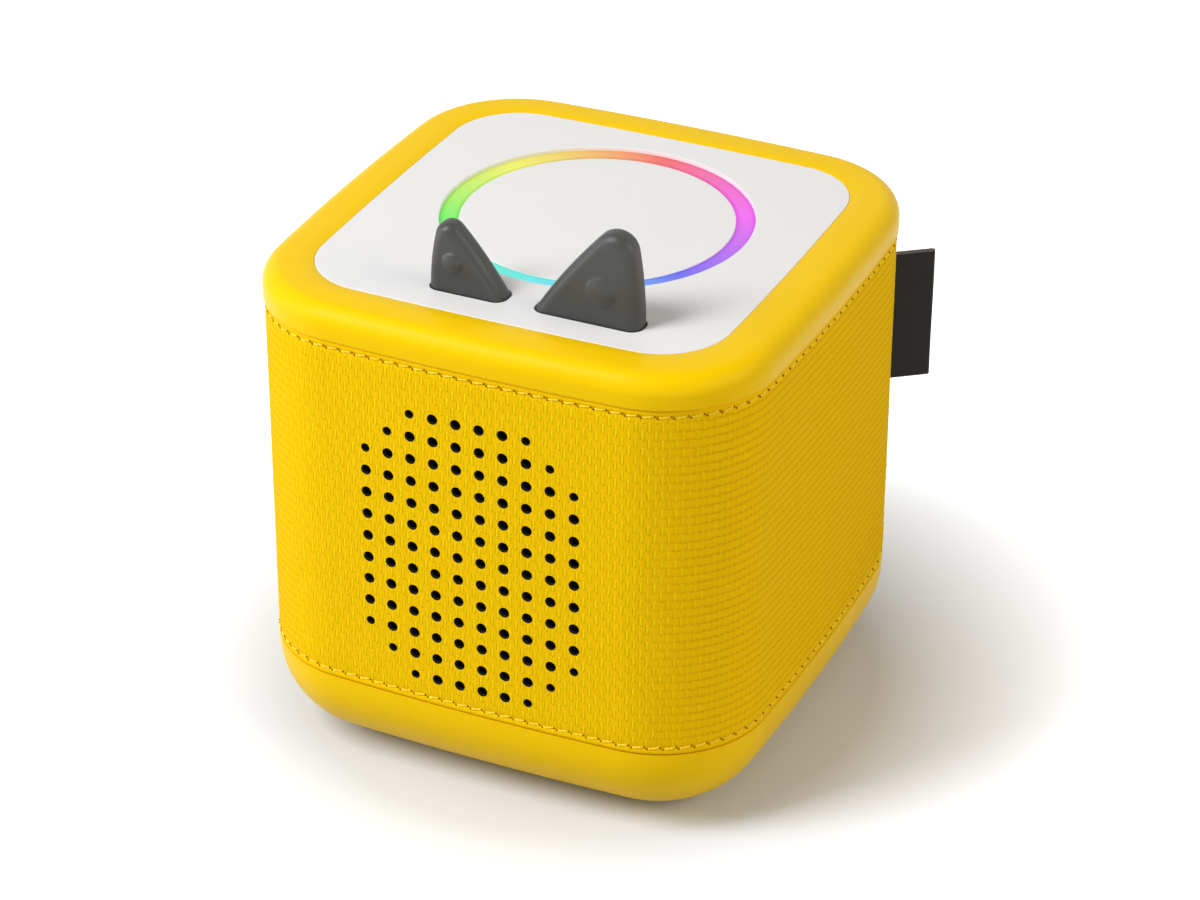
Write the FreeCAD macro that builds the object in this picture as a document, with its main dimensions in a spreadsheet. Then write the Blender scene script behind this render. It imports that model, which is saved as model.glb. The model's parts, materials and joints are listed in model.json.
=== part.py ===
import FreeCAD, Part
import math
import os
import Sketcher

# An audio story player: a soft cube with a perforated speaker front, a white top plate with a
# light ring and a round figure seat, two ear-shaped volume buttons and a sewn side tag.
# Millimetres.  The origin is the centre of the footprint on the surface it stands on, +Z is up,
# the speaker front faces -Y and the player's right hand side, seen from the front, is +X.

Vector = FreeCAD.Vector
TOLERANCE = 0.01
# an ear's skin is measured square to its slope, which widens it along the plate
EAR_SLOPE_SHARE = 1.25
# the speaker's roll is a little flatter than a half circle
ROLL_SHARE = 1.04

doc = FreeCAD.newDocument("AudioStoryPlayer")
sheet = doc.addObject("Spreadsheet::Sheet", "Sizes")

# ------------------------------------------------------------------ driving sizes

SIZES = {
    # body outline: four slightly crowned sides and four round corners
    "body_width": 120.0,
    "side_arc_radius": 730.0,
    "corner_radius": 25.8,
    # heights above the surface it stands on
    "foot_stand": 1.0,
    "base_line": 22.6,
    "body_height": 116.0,
    "base_fillet": 20.0,
    # shells
    "tub_wall": 2.4,
    "fabric_thickness": 1.2,
    "foam_thickness": 1.3,
    "housing_wall": 2.2,
    "housing_floor": 2.0,
    "housing_floor_height": 24.0,
    "shell_clearance": 0.1,
    "fabric_gap": 0.15,
    # rear panel, which rises from the tub between the ends of the fabric
    "rear_panel_top": 58.0,
    "rear_panel_corner": 15.0,
    "rear_edge_depth": 46.0,
    "rear_sweep_radius": 12.5,
    # top rim
    "rim_height": 7.7,
    "rim_bulge": 0.4,
    "rim_top_fillet": 4.5,
    "rim_tuck_fillet": 1.5,
    "rim_edge_fillet": 0.6,
    "rim_wall": 2.4,
    "rim_roof": 2.4,
    "rim_tongue": 1.9,
    # top plate
    "plate_width": 97.8,
    "plate_side_arc_radius": 1190.0,
    "plate_corner_radius": 16.1,
    "plate_thickness": 2.5,
    "plate_wall": 1.8,
    "plate_edge_fillet": 0.6,
    "plate_gap": 0.25,
    # top chassis
    "chassis_thickness": 2.4,
    "corner_post_spread": 45.5,
    "corner_post_radius": 4.2,
    # light ring and figure seat
    "ring_centre_depth": 5.8,
    "ring_outer_radius": 35.1,
    "ring_inner_radius": 31.0,
    "ring_recess": 0.8,
    "ring_flange_reach": 1.3,
    "ring_flange_thickness": 1.1,
    "ring_clearance": 0.1,
    "seat_thickness": 2.2,
    "seat_edge_fillet": 0.5,
    "baffle_outer_wall": 2.2,
    "baffle_inner_wall": 2.3,
    "baffle_floor": 0.8,
    "led_count": 12,
    "led_width": 3.6,
    "led_height": 1.5,
    "led_board_outer_radius": 38.0,
    "led_board_inner_radius": 27.0,
    "board_thickness": 1.6,
    "reader_board_radius": 27.5,
    "reader_board_thickness": 1.2,
    "reader_boss_inner_radius": 22.0,
    "reader_boss_outer_radius": 25.0,
    "reader_boss_height": 2.6,
    "coil_outer_radius": 26.0,
    "coil_track": 1.2,
    "coil_gap": 0.9,
    "coil_turns": 5,
    "coil_thickness": 0.3,
    "magnet_radius": 8.0,
    "magnet_thickness": 3.0,
    "magnet_cup_radius": 10.4,
    "magnet_clearance": 0.1,
    # ears, which are the volume buttons
    "ear_front_depth": 41.1,
    "ear_thickness": 6.3,
    "ear_edge_fillet": 2.0,
    "ear_skin": 1.3,
    "ear_knee_radius": 3.0,
    "ear_slot_gap": 0.3,
    "ear_foot_thickness": 1.6,
    "ear_foot_reach": 1.2,
    "ear_foot_front": 5.3,
    "ear_screw_inset": 4.0,
    "ear_screw_front": 2.9,
    "large_ear_left": 6.3,
    "large_ear_right": 30.9,
    "large_apex_side": 24.7,
    "large_apex_height": 16.4,
    "large_apex_radius": 4.8,
    "large_slope_radius": 125.0,
    "large_dome_side": 22.3,
    "large_dome_height": 7.8,
    "large_dome_radius": 3.5,
    "small_ear_left": -18.6,
    "small_ear_right": -0.8,
    "small_apex_side": -14.15,
    "small_apex_height": 12.55,
    "small_apex_radius": 3.0,
    "small_slope_radius": 85.0,
    "small_dome_side": -12.5,
    "small_dome_height": 7.1,
    "small_dome_radius": 2.4,
    "dome_rise": 0.75,
    "dome_rim": 0.8,
    "dome_clearance": 0.25,
    "press_travel": 0.45,
    "switch_gap": 0.05,
    "switch_depth": 0.8,
    "switch_width": 4.4,
    "switch_thickness": 1.4,
    "plunger_radius": 1.2,
    "plunger_length": 0.85,
    "plunger_rise": 0.5,
    "button_stem_radius": 1.3,
    "ear_board_width": 4.8,
    "ear_board_thickness": 0.8,
    "ear_channel_depth": 3.0,
    "ear_channel_clearance": 0.2,
    # grille: a plain oval block of round holes
    "grille_pitch": 5.5,
    "grille_hole_radius": 1.25,
    "grille_columns": 10,
    "grille_middle_rows": 9,
    "grille_centre_height": 62.6,
    "grille_margin": 3.0,
    "window_corner_radius": 8.0,
    # speaker, measured back from the face that it is screwed to
    "speaker_height": 63.0,
    "speaker_face_depth": 53.0,
    "speaker_pad_width": 58.0,
    "speaker_opening_radius": 23.5,
    "gasket_outer_radius": 26.0,
    "gasket_thickness": 1.0,
    "surround_lip": 0.5,
    "surround_skin": 0.4,
    "speaker_flange_width": 54.0,
    "speaker_flange_corner": 6.0,
    "speaker_flange_thickness": 1.2,
    "speaker_screw_spread": 22.5,
    "cone_radius": 20.0,
    "cone_depth": 8.0,
    "cone_thickness": 0.8,
    "cone_travel": 0.8,
    "surround_gap": 0.3,
    "basket_depth": 14.0,
    "basket_skin": 1.2,
    "basket_rear_radius": 17.5,
    "basket_window_width": 13.2,
    "coil_inner_radius": 9.8,
    "coil_former": 0.35,
    "coil_winding": 0.25,
    "coil_air_gap": 0.35,
    "coil_front": 6.5,
    "coil_back": 19.2,
    "coil_tail": 0.6,
    "coil_lead": 0.2,
    "dust_cap_rise": 3.0,
    "dust_cap_thickness": 0.4,
    "spider_thickness": 0.6,
    "spider_ledge_depth": 11.0,
    "spider_ledge_width": 1.7,
    "pole_plate_thickness": 3.0,
    "pole_plate_radius": 16.0,
    "speaker_magnet_thickness": 6.0,
    "speaker_magnet_radius": 17.0,
    "yoke_thickness": 3.0,
    "yoke_vent_radius": 2.5,
    "mesh_thickness": 0.5,
    "mesh_clearance": 0.2,
    # electronics and battery
    "main_board_width": 76.0,
    "main_board_front": -9.0,
    "main_board_back": 53.0,
    "main_board_corner": 3.0,
    "standoff_height": 4.0,
    "standoff_radius": 3.0,
    "standoff_inset": 4.0,
    "standoff_port_inset": 12.0,
    "shield_side": -15.0,
    "shield_depth": 18.0,
    "shield_width": 22.0,
    "shield_length": 20.0,
    "shield_height": 2.4,
    "shield_wall": 0.4,
    "shield_corner": 1.0,
    "capacitor_side": 24.0,
    "capacitor_depth": 2.0,
    "capacitor_spacing": 7.0,
    "capacitor_radius": 3.2,
    "capacitor_height": 8.0,
    "amplifier_side": 13.5,
    "amplifier_width": 7.0,
    "charger_side": 25.0,
    "charger_width": 6.0,
    "chip_depth": 17.5,
    "chip_thickness": 1.2,
    "choke_side": 6.5,
    "choke_depth": 2.5,
    "choke_width": 5.0,
    "choke_height": 2.5,
    "jack_side": 13.0,
    "jack_body_width": 6.4,
    "jack_body_height": 5.2,
    "jack_body_length": 12.0,
    "jack_nose_radius": 2.9,
    "jack_bore_radius": 1.8,
    "jack_bore_depth": 14.0,
    "jack_inset": 0.6,
    "socket_side": -13.0,
    "socket_width": 9.0,
    "socket_height": 3.3,
    "socket_length": 7.4,
    "socket_wall": 0.35,
    "socket_tongue_width": 6.7,
    "socket_tongue_thickness": 0.7,
    "socket_inset": 0.9,
    "port_clearance": 0.25,
    "cell_radius": 9.2,
    "cell_length": 65.0,
    "cell_spacing": 19.2,
    "cell_button_radius": 3.5,
    "cell_button_height": 1.0,
    "cradle_floor": 0.8,
    "cradle_wall": 2.0,
    "cradle_clearance": 0.1,
    "battery_pad_length": 50.0,
    "battery_pad_width": 30.0,
    "lead_radius": 0.8,
    "lead_bend_radius": 6.0,
    "lead_spacing": 2.4,
    "battery_lead_side": 42.0,
    "battery_lead_hole": 4.0,
    "plug_length": 7.0,
    "plug_width": 6.0,
    "plug_height": 5.0,
    "speaker_lead_side": 12.0,
    "speaker_lead_depth": -4.0,
    "speaker_terminal_inset": 3.0,
    "ribbon_plug_depth": 4.0,
    "ribbon_plug_height": 2.6,
    "flat_cable_width": 8.0,
    "flat_cable_thickness": 0.3,
    "flat_cable_depth": 40.0,
    # feet, screws and tag
    "foot_radius": 6.5,
    "foot_recess": 1.2,
    "foot_spread": 36.0,
    "foot_clearance": 0.1,
    "foot_edge_fillet": 0.6,
    "base_screw_side": 40.0,
    "base_screw_depth": 26.0,
    "boss_radius": 3.6,
    "boss_top": 12.0,
    "screw_radius": 1.45,
    "screw_head_radius": 2.9,
    "screw_head_height": 2.2,
    "screw_seat_depth": 3.0,
    "screw_length": 14.0,
    "small_screw_radius": 0.9,
    "small_screw_head_radius": 1.7,
    "small_screw_head_height": 1.2,
    "thread_clearance": 0.05,
    "head_clearance": 0.3,
    "drive_width": 2.4,
    "small_drive_width": 1.6,
    "tag_angle": 37.0,
    "tag_height": 32.4,
    "tag_centre_height": 82.1,
    "tag_reach": 10.5,
    "tag_thickness": 1.3,
    "tag_slit_clearance": 0.05,
}


class Size:
    """A number together with the formula in the sheet's names that gives it."""

    def __init__(self, value, formula):
        self.value = float(value)
        self.formula = formula

    def __float__(self):
        return self.value

    def __neg__(self):
        return Size(-self.value, "(0 - %s)" % self.formula)

    def __add__(self, other):
        return joined(self, "+", other, self.value + float(other))

    def __radd__(self, other):
        return joined(other, "+", self, float(other) + self.value)

    def __sub__(self, other):
        return joined(self, "-", other, self.value - float(other))

    def __rsub__(self, other):
        return joined(other, "-", self, float(other) - self.value)

    def __mul__(self, other):
        return joined(self, "*", other, self.value * float(other))

    def __rmul__(self, other):
        return joined(other, "*", self, float(other) * self.value)

    def __truediv__(self, other):
        return joined(self, "/", other, self.value / float(other))

    def root(self):
        return Size(math.sqrt(self.value), "sqrt(%s)" % self.formula)

    def cosine(self):
        return Size(math.cos(math.radians(self.value)), "cos(%s * 1 deg)" % self.formula)

    def sine(self):
        return Size(math.sin(math.radians(self.value)), "sin(%s * 1 deg)" % self.formula)


def formula(value):
    """The text that the document computes a value from."""
    return value.formula if isinstance(value, Size) else "%.9g" % float(value)


def joined(first, sign, second, value):
    return Size(value, "(%s %s %s)" % (formula(first), sign, formula(second)))


def bind(item, name, value):
    """Set a property of a document object from the sheet."""
    item.setExpression(name, formula(value))


class SheetSizes:
    """The driving sizes, written to the sheet and read by name."""

    def __init__(self, numbers):
        for row, (name, value) in enumerate(numbers.items(), 1):
            sheet.set("A%d" % row, name.replace("_", " "))
            sheet.set("B%d" % row, str(value))
            sheet.setAlias("B%d" % row, name)
            setattr(self, name, Size(value, "Sizes." + name))
        doc.recompute()


s = SheetSizes(SIZES)

# ------------------------------------------------------------------ sketches and features

PLANES = {"x": "YZ_Plane", "y": "XZ_Plane", "z": "XY_Plane"}
kept = []


def keep(item, label):
    """Name a finished sub-part and put it on the list of those that are written out."""
    item.Label = label
    kept.append(item)
    return item


def new_body(label):
    """A sub-part that is built up from sketched features."""
    return keep(doc.addObject("PartDesign::Body", label), label)


def helper_body(label):
    """A body that only serves to cut or to build another sub-part."""
    body = doc.addObject("PartDesign::Body", label)
    body.Label = label
    return body


class Profile:
    """A closed outline on a plane across one axis of a body."""

    def __init__(self, body, axis, across=0.0, up=0.0):
        self.body = body
        self.axis = axis
        self.sketch = body.newObject("Sketcher::SketchObject", "Sketch")
        plane = [item for item in body.Origin.OriginFeatures if item.Role == PLANES[axis]][0]
        self.sketch.AttachmentSupport = [(plane, "")]
        self.sketch.MapMode = "FlatFace"
        bind(self.sketch, ".AttachmentOffset.Base.x", across)
        bind(self.sketch, ".AttachmentOffset.Base.y", up)

    # ---- outlines

    def hold(self, element, point, across, up):
        """Hold a point of an element at a place in the plane."""
        for kind, value in (("DistanceX", across), ("DistanceY", up)):
            rule = Sketcher.Constraint(kind, -1, 1, element, point, float(value))
            bind(self.sketch, "Constraints[%d]" % self.sketch.addConstraint(rule), value)

    def size_arc(self, element, radius):
        rule = Sketcher.Constraint("Radius", element, float(radius))
        bind(self.sketch, "Constraints[%d]" % self.sketch.addConstraint(rule), radius)

    def link(self, kind, first, first_point, second, second_point):
        self.sketch.addConstraint(Sketcher.Constraint(kind, first, first_point, second, second_point))

    def line(self, start, end):
        first, last = (Vector(float(point[0]), float(point[1])) for point in (start, end))
        return self.sketch.addGeometry(Part.LineSegment(first, last))

    def arc(self, centre, radius, start, end):
        """An arc that runs counterclockwise between two angles in radians."""
        ring = Part.Circle(Vector(float(centre[0]), float(centre[1])), Vector(0, 0, 1), float(radius))
        return self.sketch.addGeometry(Part.ArcOfCircle(ring, start, end))

    def circle(self, across, up, radius):
        ring = Part.Circle(Vector(float(across), float(up)), Vector(0, 0, 1), float(radius))
        element = self.sketch.addGeometry(ring)
        self.hold(element, 3, across, up)
        self.size_arc(element, radius)
        return self

    def polygon(self, *corners):
        """Straight sides from corner to corner."""
        sides = [self.line(start, end) for start, end in zip(corners, corners[1:] + corners[:1])]
        for side, following, corner in zip(sides, sides[1:] + sides[:1], corners):
            self.link("Coincident", side, 2, following, 1)
            self.hold(side, 1, *corner)
        return self

    def rectangle(self, left, right, bottom, top):
        return self.polygon((left, bottom), (right, bottom), (right, top), (left, top))

    def rounded(self, left, right, bottom, top, radius):
        """A rectangle with four round corners."""
        centres = [(right - radius, bottom + radius), (right - radius, top - radius),
                   (left + radius, top - radius), (left + radius, bottom + radius)]
        quarter = math.pi / 2
        arcs = [self.arc(centre, radius, quarter * (turn - 1), quarter * turn)
                for turn, centre in enumerate(centres)]
        for turn, corner in enumerate(arcs):
            following = (turn + 1) % 4
            angle = quarter * turn
            reach = [float(radius) * math.cos(angle), float(radius) * math.sin(angle)]
            ends = [[float(centre[0]) + reach[0], float(centre[1]) + reach[1]]
                    for centre in (centres[turn], centres[following])]
            side = self.line(*ends)
            self.link("Tangent", corner, 2, side, 1)
            self.link("Tangent", side, 2, arcs[following], 1)
            self.hold(corner, 3, *centres[turn])
            self.size_arc(corner, radius)
        return self

    def crowned_square(self, half, side_radius, corner_radius):
        """Four long side arcs that run smoothly into four corner arcs."""
        centre = float(crown_centre(half, side_radius, corner_radius))
        lift = float(side_radius) - float(half)
        spread = math.atan2(centre, centre + lift)
        arcs = []
        for turn in range(4):
            angle = math.pi / 2 * turn
            side_centre = (-lift * math.cos(angle), -lift * math.sin(angle))
            arcs.append(self.arc(side_centre, side_radius, angle - spread, angle + spread))
            reach = centre * math.sqrt(2)
            diagonal = angle + math.pi / 4
            corner_centre = (reach * math.cos(diagonal), reach * math.sin(diagonal))
            quarter = angle + math.pi / 2
            arcs.append(self.arc(corner_centre, corner_radius, angle + spread, quarter - spread))
            signs = [(-1, 0), (0, -1), (1, 0), (0, 1)][turn]
            self.hold(arcs[-2], 3, signs[0] * (side_radius - half), signs[1] * (side_radius - half))
            self.size_arc(arcs[-2], side_radius)
            self.size_arc(arcs[-1], corner_radius)
        for element, following in zip(arcs, arcs[1:] + arcs[:1]):
            self.link("Tangent", element, 2, following, 1)
        return self

    def path(self, start, *steps, closed=True):
        """Lines and arcs from point to point; a step with a radius is an arc, which turns left if
        the radius is positive and right if it is negative.  A closed path ends where it starts."""
        points = [start] + [step[:2] for step in steps[:-1]]
        elements = []
        for turn, step in enumerate(steps):
            begin, end = points[turn], (steps[turn][:2])
            if len(step) == 2:
                elements.append((self.line(begin, end), 1, 2))
                continue
            left = float(step[2]) > 0
            radius = step[2] if left else -step[2]
            first, last = (begin, end) if left else (end, begin)
            centre = arc_centre(first, last, radius)
            angles = [math.atan2(float(p[1]) - centre[1], float(p[0]) - centre[0]) for p in (first, last)]
            element = self.arc(centre, radius, *angles)
            self.size_arc(element, radius)
            elements.append((element, 1, 2) if left else (element, 2, 1))
        for (element, begin, _), point in zip(elements, points):
            self.hold(element, begin, *point)
        for (element, _, end), following in zip(elements, elements[1:]):
            self.link("Coincident", element, end, following[0], following[1])
        last, _, end = elements[-1]
        if closed:
            self.link("Coincident", last, end, elements[0][0], elements[0][1])
        else:
            self.hold(last, end, *steps[-1][:2])
        return self

    def ear(self, shape, foot, inset):
        """The front outline of an ear down to the height of its foot, drawn inside the skin by inset.

        From its foot it runs up the nearly upright back, over the tip, down the slope and through a
        small round knee to the foot again.  The numbers are found with the back on the right, and
        an ear that faces the other way is turned over."""
        side = shape.side
        base = s.body_height
        back = shape.back - side * inset
        slope = shape.slope + side * inset * EAR_SLOPE_SHARE
        tip, sweep, knee = shape.apex_radius - inset, shape.slope_radius - inset, s.ear_knee_radius
        apex = (side * float(shape.apex_side), float(base + shape.apex_height))
        run, rise = side * float(back) - apex[0], apex[1] - float(base)
        back_radius = (run ** 2 + rise ** 2 - float(tip) ** 2) / (2 * (run - float(tip)))
        back_centre = (side * float(back) - back_radius, float(base))
        slope_start = (side * float(slope), float(base))
        slope_centre = touching_centre(slope_start, apex, float(sweep), float(tip))
        knee_across = slope_start[0] + float(knee)
        inner = float(sweep - knee)
        knee_rise = math.sqrt(inner ** 2 - (knee_across - slope_centre[0]) ** 2)
        knee_centre = (knee_across, slope_centre[1] + knee_rise)
        centres = (back_centre, apex, slope_centre, knee_centre)
        meets = [0.0, heading(back_centre, apex), heading(slope_centre, apex),
                 heading(slope_centre, knee_centre), math.pi]
        arcs = []
        for centre, radius, first, last in zip(centres, (back_radius, tip, sweep, knee), meets, meets[1:]):
            if side > 0:
                arcs.append((self.arc(centre, radius, first, last), 1, 2))
            else:
                centre = (-centre[0], centre[1])
                arcs.append((self.arc(centre, radius, math.pi - last, math.pi - first), 2, 1))
        up = self.line((back, foot), (back, base))
        down = self.line((slope, knee_centre[1]), (slope, foot))
        bottom = self.line((slope, foot), (back, foot))
        chain = [(up, 1, 2)] + arcs + [(down, 1, 2)]
        for (element, _, end), (following, begin, _) in zip(chain, chain[1:]):
            self.link("Tangent", element, end, following, begin)
        self.link("Coincident", down, 2, bottom, 1)
        self.link("Coincident", bottom, 2, up, 1)
        self.hold(up, 1, back, foot)
        self.hold(bottom, 1, slope, foot)
        self.hold(up, 2, back, base)
        self.sketch.addConstraint(Sketcher.Constraint("Vertical", down))
        self.hold(arcs[1][0], 3, shape.apex_side, base + shape.apex_height)
        for (element, _, _), radius in zip(arcs[1:], (tip, sweep, knee)):
            self.size_arc(element, radius)
        guide = self.sketch.addGeometry(Part.Point(Vector(float(slope), float(base))), True)
        self.hold(guide, 1, slope, base)
        self.sketch.addConstraint(Sketcher.Constraint("PointOnObject", guide, 1, arcs[2][0]))
        return self

    # ---- solids

    def place(self, level):
        """Move the sketch along its axis; the plane across Y looks toward -Y."""
        bind(self.sketch, ".AttachmentOffset.Base.z", -level if self.axis == "y" else level)

    def extrude(self, kind, low, high):
        self.place(high if self.axis == "y" else low)
        feature = self.body.newObject("PartDesign::" + kind, kind)
        feature.Profile = self.sketch
        bind(feature, "Length", high - low)
        feature.Reversed = kind == "Pocket"
        self.body.Tip = feature
        return feature

    def pad(self, low, high):
        return self.extrude("Pad", low, high)

    def pocket(self, low, high):
        return self.extrude("Pocket", low, high)

    def turn(self, level, about, kind="Revolution"):
        """Revolve the outline about an axis of its sketch."""
        self.place(level)
        feature = self.body.newObject("PartDesign::" + kind, kind)
        feature.Profile = self.sketch
        feature.ReferenceAxis = (self.sketch, [about])
        feature.Angle = 360
        self.body.Tip = feature
        return feature

    def pipe(self, level, route):
        """Sweep the outline along a route drawn on another plane of the same body."""
        self.place(level)
        feature = self.body.newObject("PartDesign::AdditivePipe", "AdditivePipe")
        feature.Profile = self.sketch
        feature.Spine = route.sketch
        self.body.Tip = feature
        return feature

    def around(self, feature, count):
        """Repeat a feature about the sketch's own origin."""
        pattern = self.body.newObject("PartDesign::PolarPattern", "PolarPattern")
        pattern.Originals = [feature]
        pattern.Axis = (self.sketch, ["N_Axis"])
        pattern.Angle = 360
        bind(pattern, "Occurrences", count)
        self.body.Tip = pattern
        return pattern

    def block(self, feature, columns, width, rows, height):
        """Repeat a feature in columns over a width along the sketch and in rows over a height up it."""
        pattern = self.body.newObject("PartDesign::LinearPattern", "LinearPattern")
        pattern.Originals = [feature]
        pattern.Direction = (self.sketch, ["H_Axis"])
        pattern.Direction2 = (self.sketch, ["V_Axis"])
        bind(pattern, "Occurrences", columns)
        bind(pattern, "Occurrences2", rows)
        bind(pattern, "Length", width)
        bind(pattern, "Length2", height)
        self.body.Tip = pattern
        return pattern


def crown_centre(half, side_radius, corner_radius):
    """How far out the centres of the corner arcs of a crowned square lie, along X and along Y."""
    lift = side_radius - half
    inner = side_radius - corner_radius
    return ((2 * inner * inner - lift * lift).root() - lift) / 2


def arc_centre(start, end, radius):
    """Centre of the short arc that runs counterclockwise from start to end."""
    across, up = float(end[0]) - float(start[0]), float(end[1]) - float(start[1])
    chord = math.hypot(across, up)
    height = math.sqrt(max(float(radius) ** 2 - chord ** 2 / 4, 0.0))
    middle = ((float(start[0]) + float(end[0])) / 2, (float(start[1]) + float(end[1])) / 2)
    return (middle[0] - up / chord * height, middle[1] + across / chord * height)


def touching_centre(point, apex, radius, tip):
    """Centre of a circle through a point that holds the tip circle inside it and touches it."""
    across, up = apex[0] - point[0], apex[1] - point[1]
    gap = math.hypot(across, up)
    along = (radius ** 2 - (radius - tip) ** 2 + gap ** 2) / (2 * gap)
    off = math.sqrt(radius ** 2 - along ** 2)
    return (point[0] + (across * along + up * off) / gap, point[1] + (up * along - across * off) / gap)


def heading(start, end):
    return math.atan2(end[1] - start[1], end[0] - start[0])


def dress(body, kind, size, chosen):
    """Fillet or chamfer the edges of the finished solid that a test picks out."""
    doc.recompute()
    base = body.Tip
    names = ["Edge%d" % number for number, edge in enumerate(base.Shape.Edges, 1) if chosen(edge)]
    if not names:
        raise ValueError("no edge to %s on %s" % (kind.lower(), body.Label))
    feature = body.newObject("PartDesign::" + kind, kind)
    feature.Base = (base, names)
    bind(feature, "Radius" if kind == "Fillet" else "Size", size)
    body.Tip = feature
    return feature


def hollow(body, wall, level):
    """Hollow the finished solid to a wall, open at the flat face at a height."""
    doc.recompute()
    base = body.Tip
    faces = ["Face%d" % number for number, face in enumerate(base.Shape.Faces, 1)
             if abs(face.BoundBox.ZMin - float(level)) < TOLERANCE]
    feature = body.newObject("PartDesign::Thickness", "Thickness")
    feature.Base = (base, faces)
    feature.Reversed = True
    bind(feature, "Value", wall)
    body.Tip = feature


def flat_at(axis, level):
    """A test for the edges that lie in a plane across an axis."""
    def chosen(edge):
        box = edge.BoundBox
        low, high = {"x": (box.XMin, box.XMax), "y": (box.YMin, box.YMax), "z": (box.ZMin, box.ZMax)}[axis]
        return abs(low - float(level)) < TOLERANCE and abs(high - float(level)) < TOLERANCE
    return chosen


def circles_at(axis, level, radius):
    """A test for the round edges of one radius in a plane across an axis."""
    flat = flat_at(axis, level)

    def chosen(edge):
        round_edge = isinstance(edge.Curve, Part.Circle)
        return round_edge and abs(edge.Curve.Radius - float(radius)) < TOLERANCE and flat(edge)
    return chosen


def combine(kind, label, base, tool):
    """A boolean of two document objects."""
    item = doc.addObject("Part::" + kind, label)
    item.Base = base
    item.Tool = tool
    item.Label = label
    return item


def four_places(side, depth):
    return [(side, depth), (-side, depth), (-side, -depth), (side, -depth)]


def circles(profile, places, radius):
    for across, up in places:
        profile.circle(across, up, radius)
    return profile


def drive(profile, places, width):
    """Hexagonal drive recesses, as wide as a key of the given width."""
    reach = width / math.sqrt(3)
    for across, up in places:
        angles = [math.pi / 3 * turn for turn in range(6)]
        profile.polygon(*[(across + reach * math.cos(a), up + reach * math.sin(a)) for a in angles])
    return profile


def screws(label, axis, places, seat, length, outward, small=False):
    """A set of equal screws across an axis; outward is the way that their heads point."""
    body = new_body(label)
    radius = s.small_screw_radius if small else s.screw_radius
    head_radius = s.small_screw_head_radius if small else s.screw_head_radius
    head = s.small_screw_head_height if small else s.screw_head_height
    key = s.small_drive_width if small else s.drive_width
    top, tip = seat + outward * head, seat - outward * length
    floor = seat + outward * (head / 2)

    def span(first, last):
        return (first, last) if float(first) < float(last) else (last, first)

    circles(Profile(body, axis), places, radius).pad(*span(seat, tip))
    circles(Profile(body, axis), places, head_radius).pad(*span(seat, top))
    drive(Profile(body, axis), places, key).pocket(*span(floor, top))
    return body


# ------------------------------------------------------------------ shared levels and outlines

body_half = s.body_width / 2
corner_centre = crown_centre(body_half, s.side_arc_radius, s.corner_radius)
soft_thickness = s.fabric_thickness + s.foam_thickness
base_bottom = s.foot_stand
fabric_bottom = s.base_line + s.fabric_gap
fabric_top = s.body_height - s.rim_height
chassis_top = fabric_top - s.rim_tongue
chassis_bottom = chassis_top - s.chassis_thickness
plate_underside = s.body_height - s.plate_thickness
seat_top = s.body_height - s.ring_recess
seat_bottom = seat_top - s.seat_thickness
led_board_top = chassis_top + s.board_thickness
speaker_face = -s.speaker_face_depth
housing_inset = soft_thickness
tub_floor_top = base_bottom + s.tub_wall
board_underside = s.housing_floor_height + s.housing_floor + s.standoff_height
board_top = board_underside + s.board_thickness


def body_outline(profile, inset):
    """The outline of the body, drawn inside it by inset."""
    return profile.crowned_square(body_half - inset, s.side_arc_radius - inset, s.corner_radius - inset)


def plate_outline(profile, inset):
    """The outline of the top plate, drawn inside it by inset."""
    return profile.crowned_square(
        s.plate_width / 2 - inset, s.plate_side_arc_radius - inset, s.plate_corner_radius - inset)


def band(body, outer, inner, low, high):
    """A closed band of the body's outline between two insets and two heights."""
    return body_outline(body_outline(Profile(body, "z"), outer), inner).pad(low, high)


# ------------------------------------------------------------------ rear panel outline

def rear_region(label, gap):
    """The space behind the ends of the fabric, smaller all round by gap."""
    region = helper_body(label)
    edge = s.rear_edge_depth + gap
    reach = (s.corner_radius * s.corner_radius - (edge - corner_centre) * (edge - corner_centre)).root()
    half = corner_centre + reach
    top = s.rear_panel_top - gap
    sweep = s.rear_sweep_radius + gap
    sweep_top = s.base_line + s.fabric_gap + s.rear_sweep_radius
    wide = body_half + s.fabric_thickness
    corner = s.rear_panel_corner - gap
    low = s.base_line - s.tub_wall
    Profile(region, "y").path(
        (-wide, low), (wide, low), (wide, sweep_top), (half, sweep_top), (half, top - corner),
        (half - corner, top, corner), (corner - half, top), (-half, top - corner, corner),
        (-half, sweep_top), (-wide, sweep_top), (-wide, low)).pad(corner_centre - s.corner_radius, wide)
    centre_depth = edge - sweep
    start = corner_centre - 2 * s.corner_radius
    Profile(region, "x").path(
        (start, low), (centre_depth, low), (centre_depth, sweep_top - sweep), (edge, sweep_top, sweep),
        (edge, top + s.fabric_thickness), (start, top + s.fabric_thickness),
        (start, low)).pocket(-wide, wide)
    return region


fabric_cutout = rear_region("fabric_cutout", 0)
panel_space = rear_region("panel_space", s.fabric_gap)


# ------------------------------------------------------------------ base tub

base_screw_places = four_places(s.base_screw_side, s.base_screw_depth)
foot_places = four_places(s.foot_spread, s.foot_spread)
jack_height = board_top + s.jack_body_height / 2
socket_height = board_top + s.socket_height / 2


def port_holes(body, low, high):
    """The openings for the headphone jack and the charging socket, cut through a rear wall."""
    clear = s.port_clearance
    Profile(body, "y").circle(s.jack_side, jack_height, s.jack_nose_radius + clear).pocket(low, high)
    half = s.socket_width / 2 + clear
    rise = s.socket_height / 2 + clear
    Profile(body, "y").rounded(
        s.socket_side - half, s.socket_side + half, socket_height - rise, socket_height + rise,
        rise - TOLERANCE).pocket(low, high)


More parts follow.
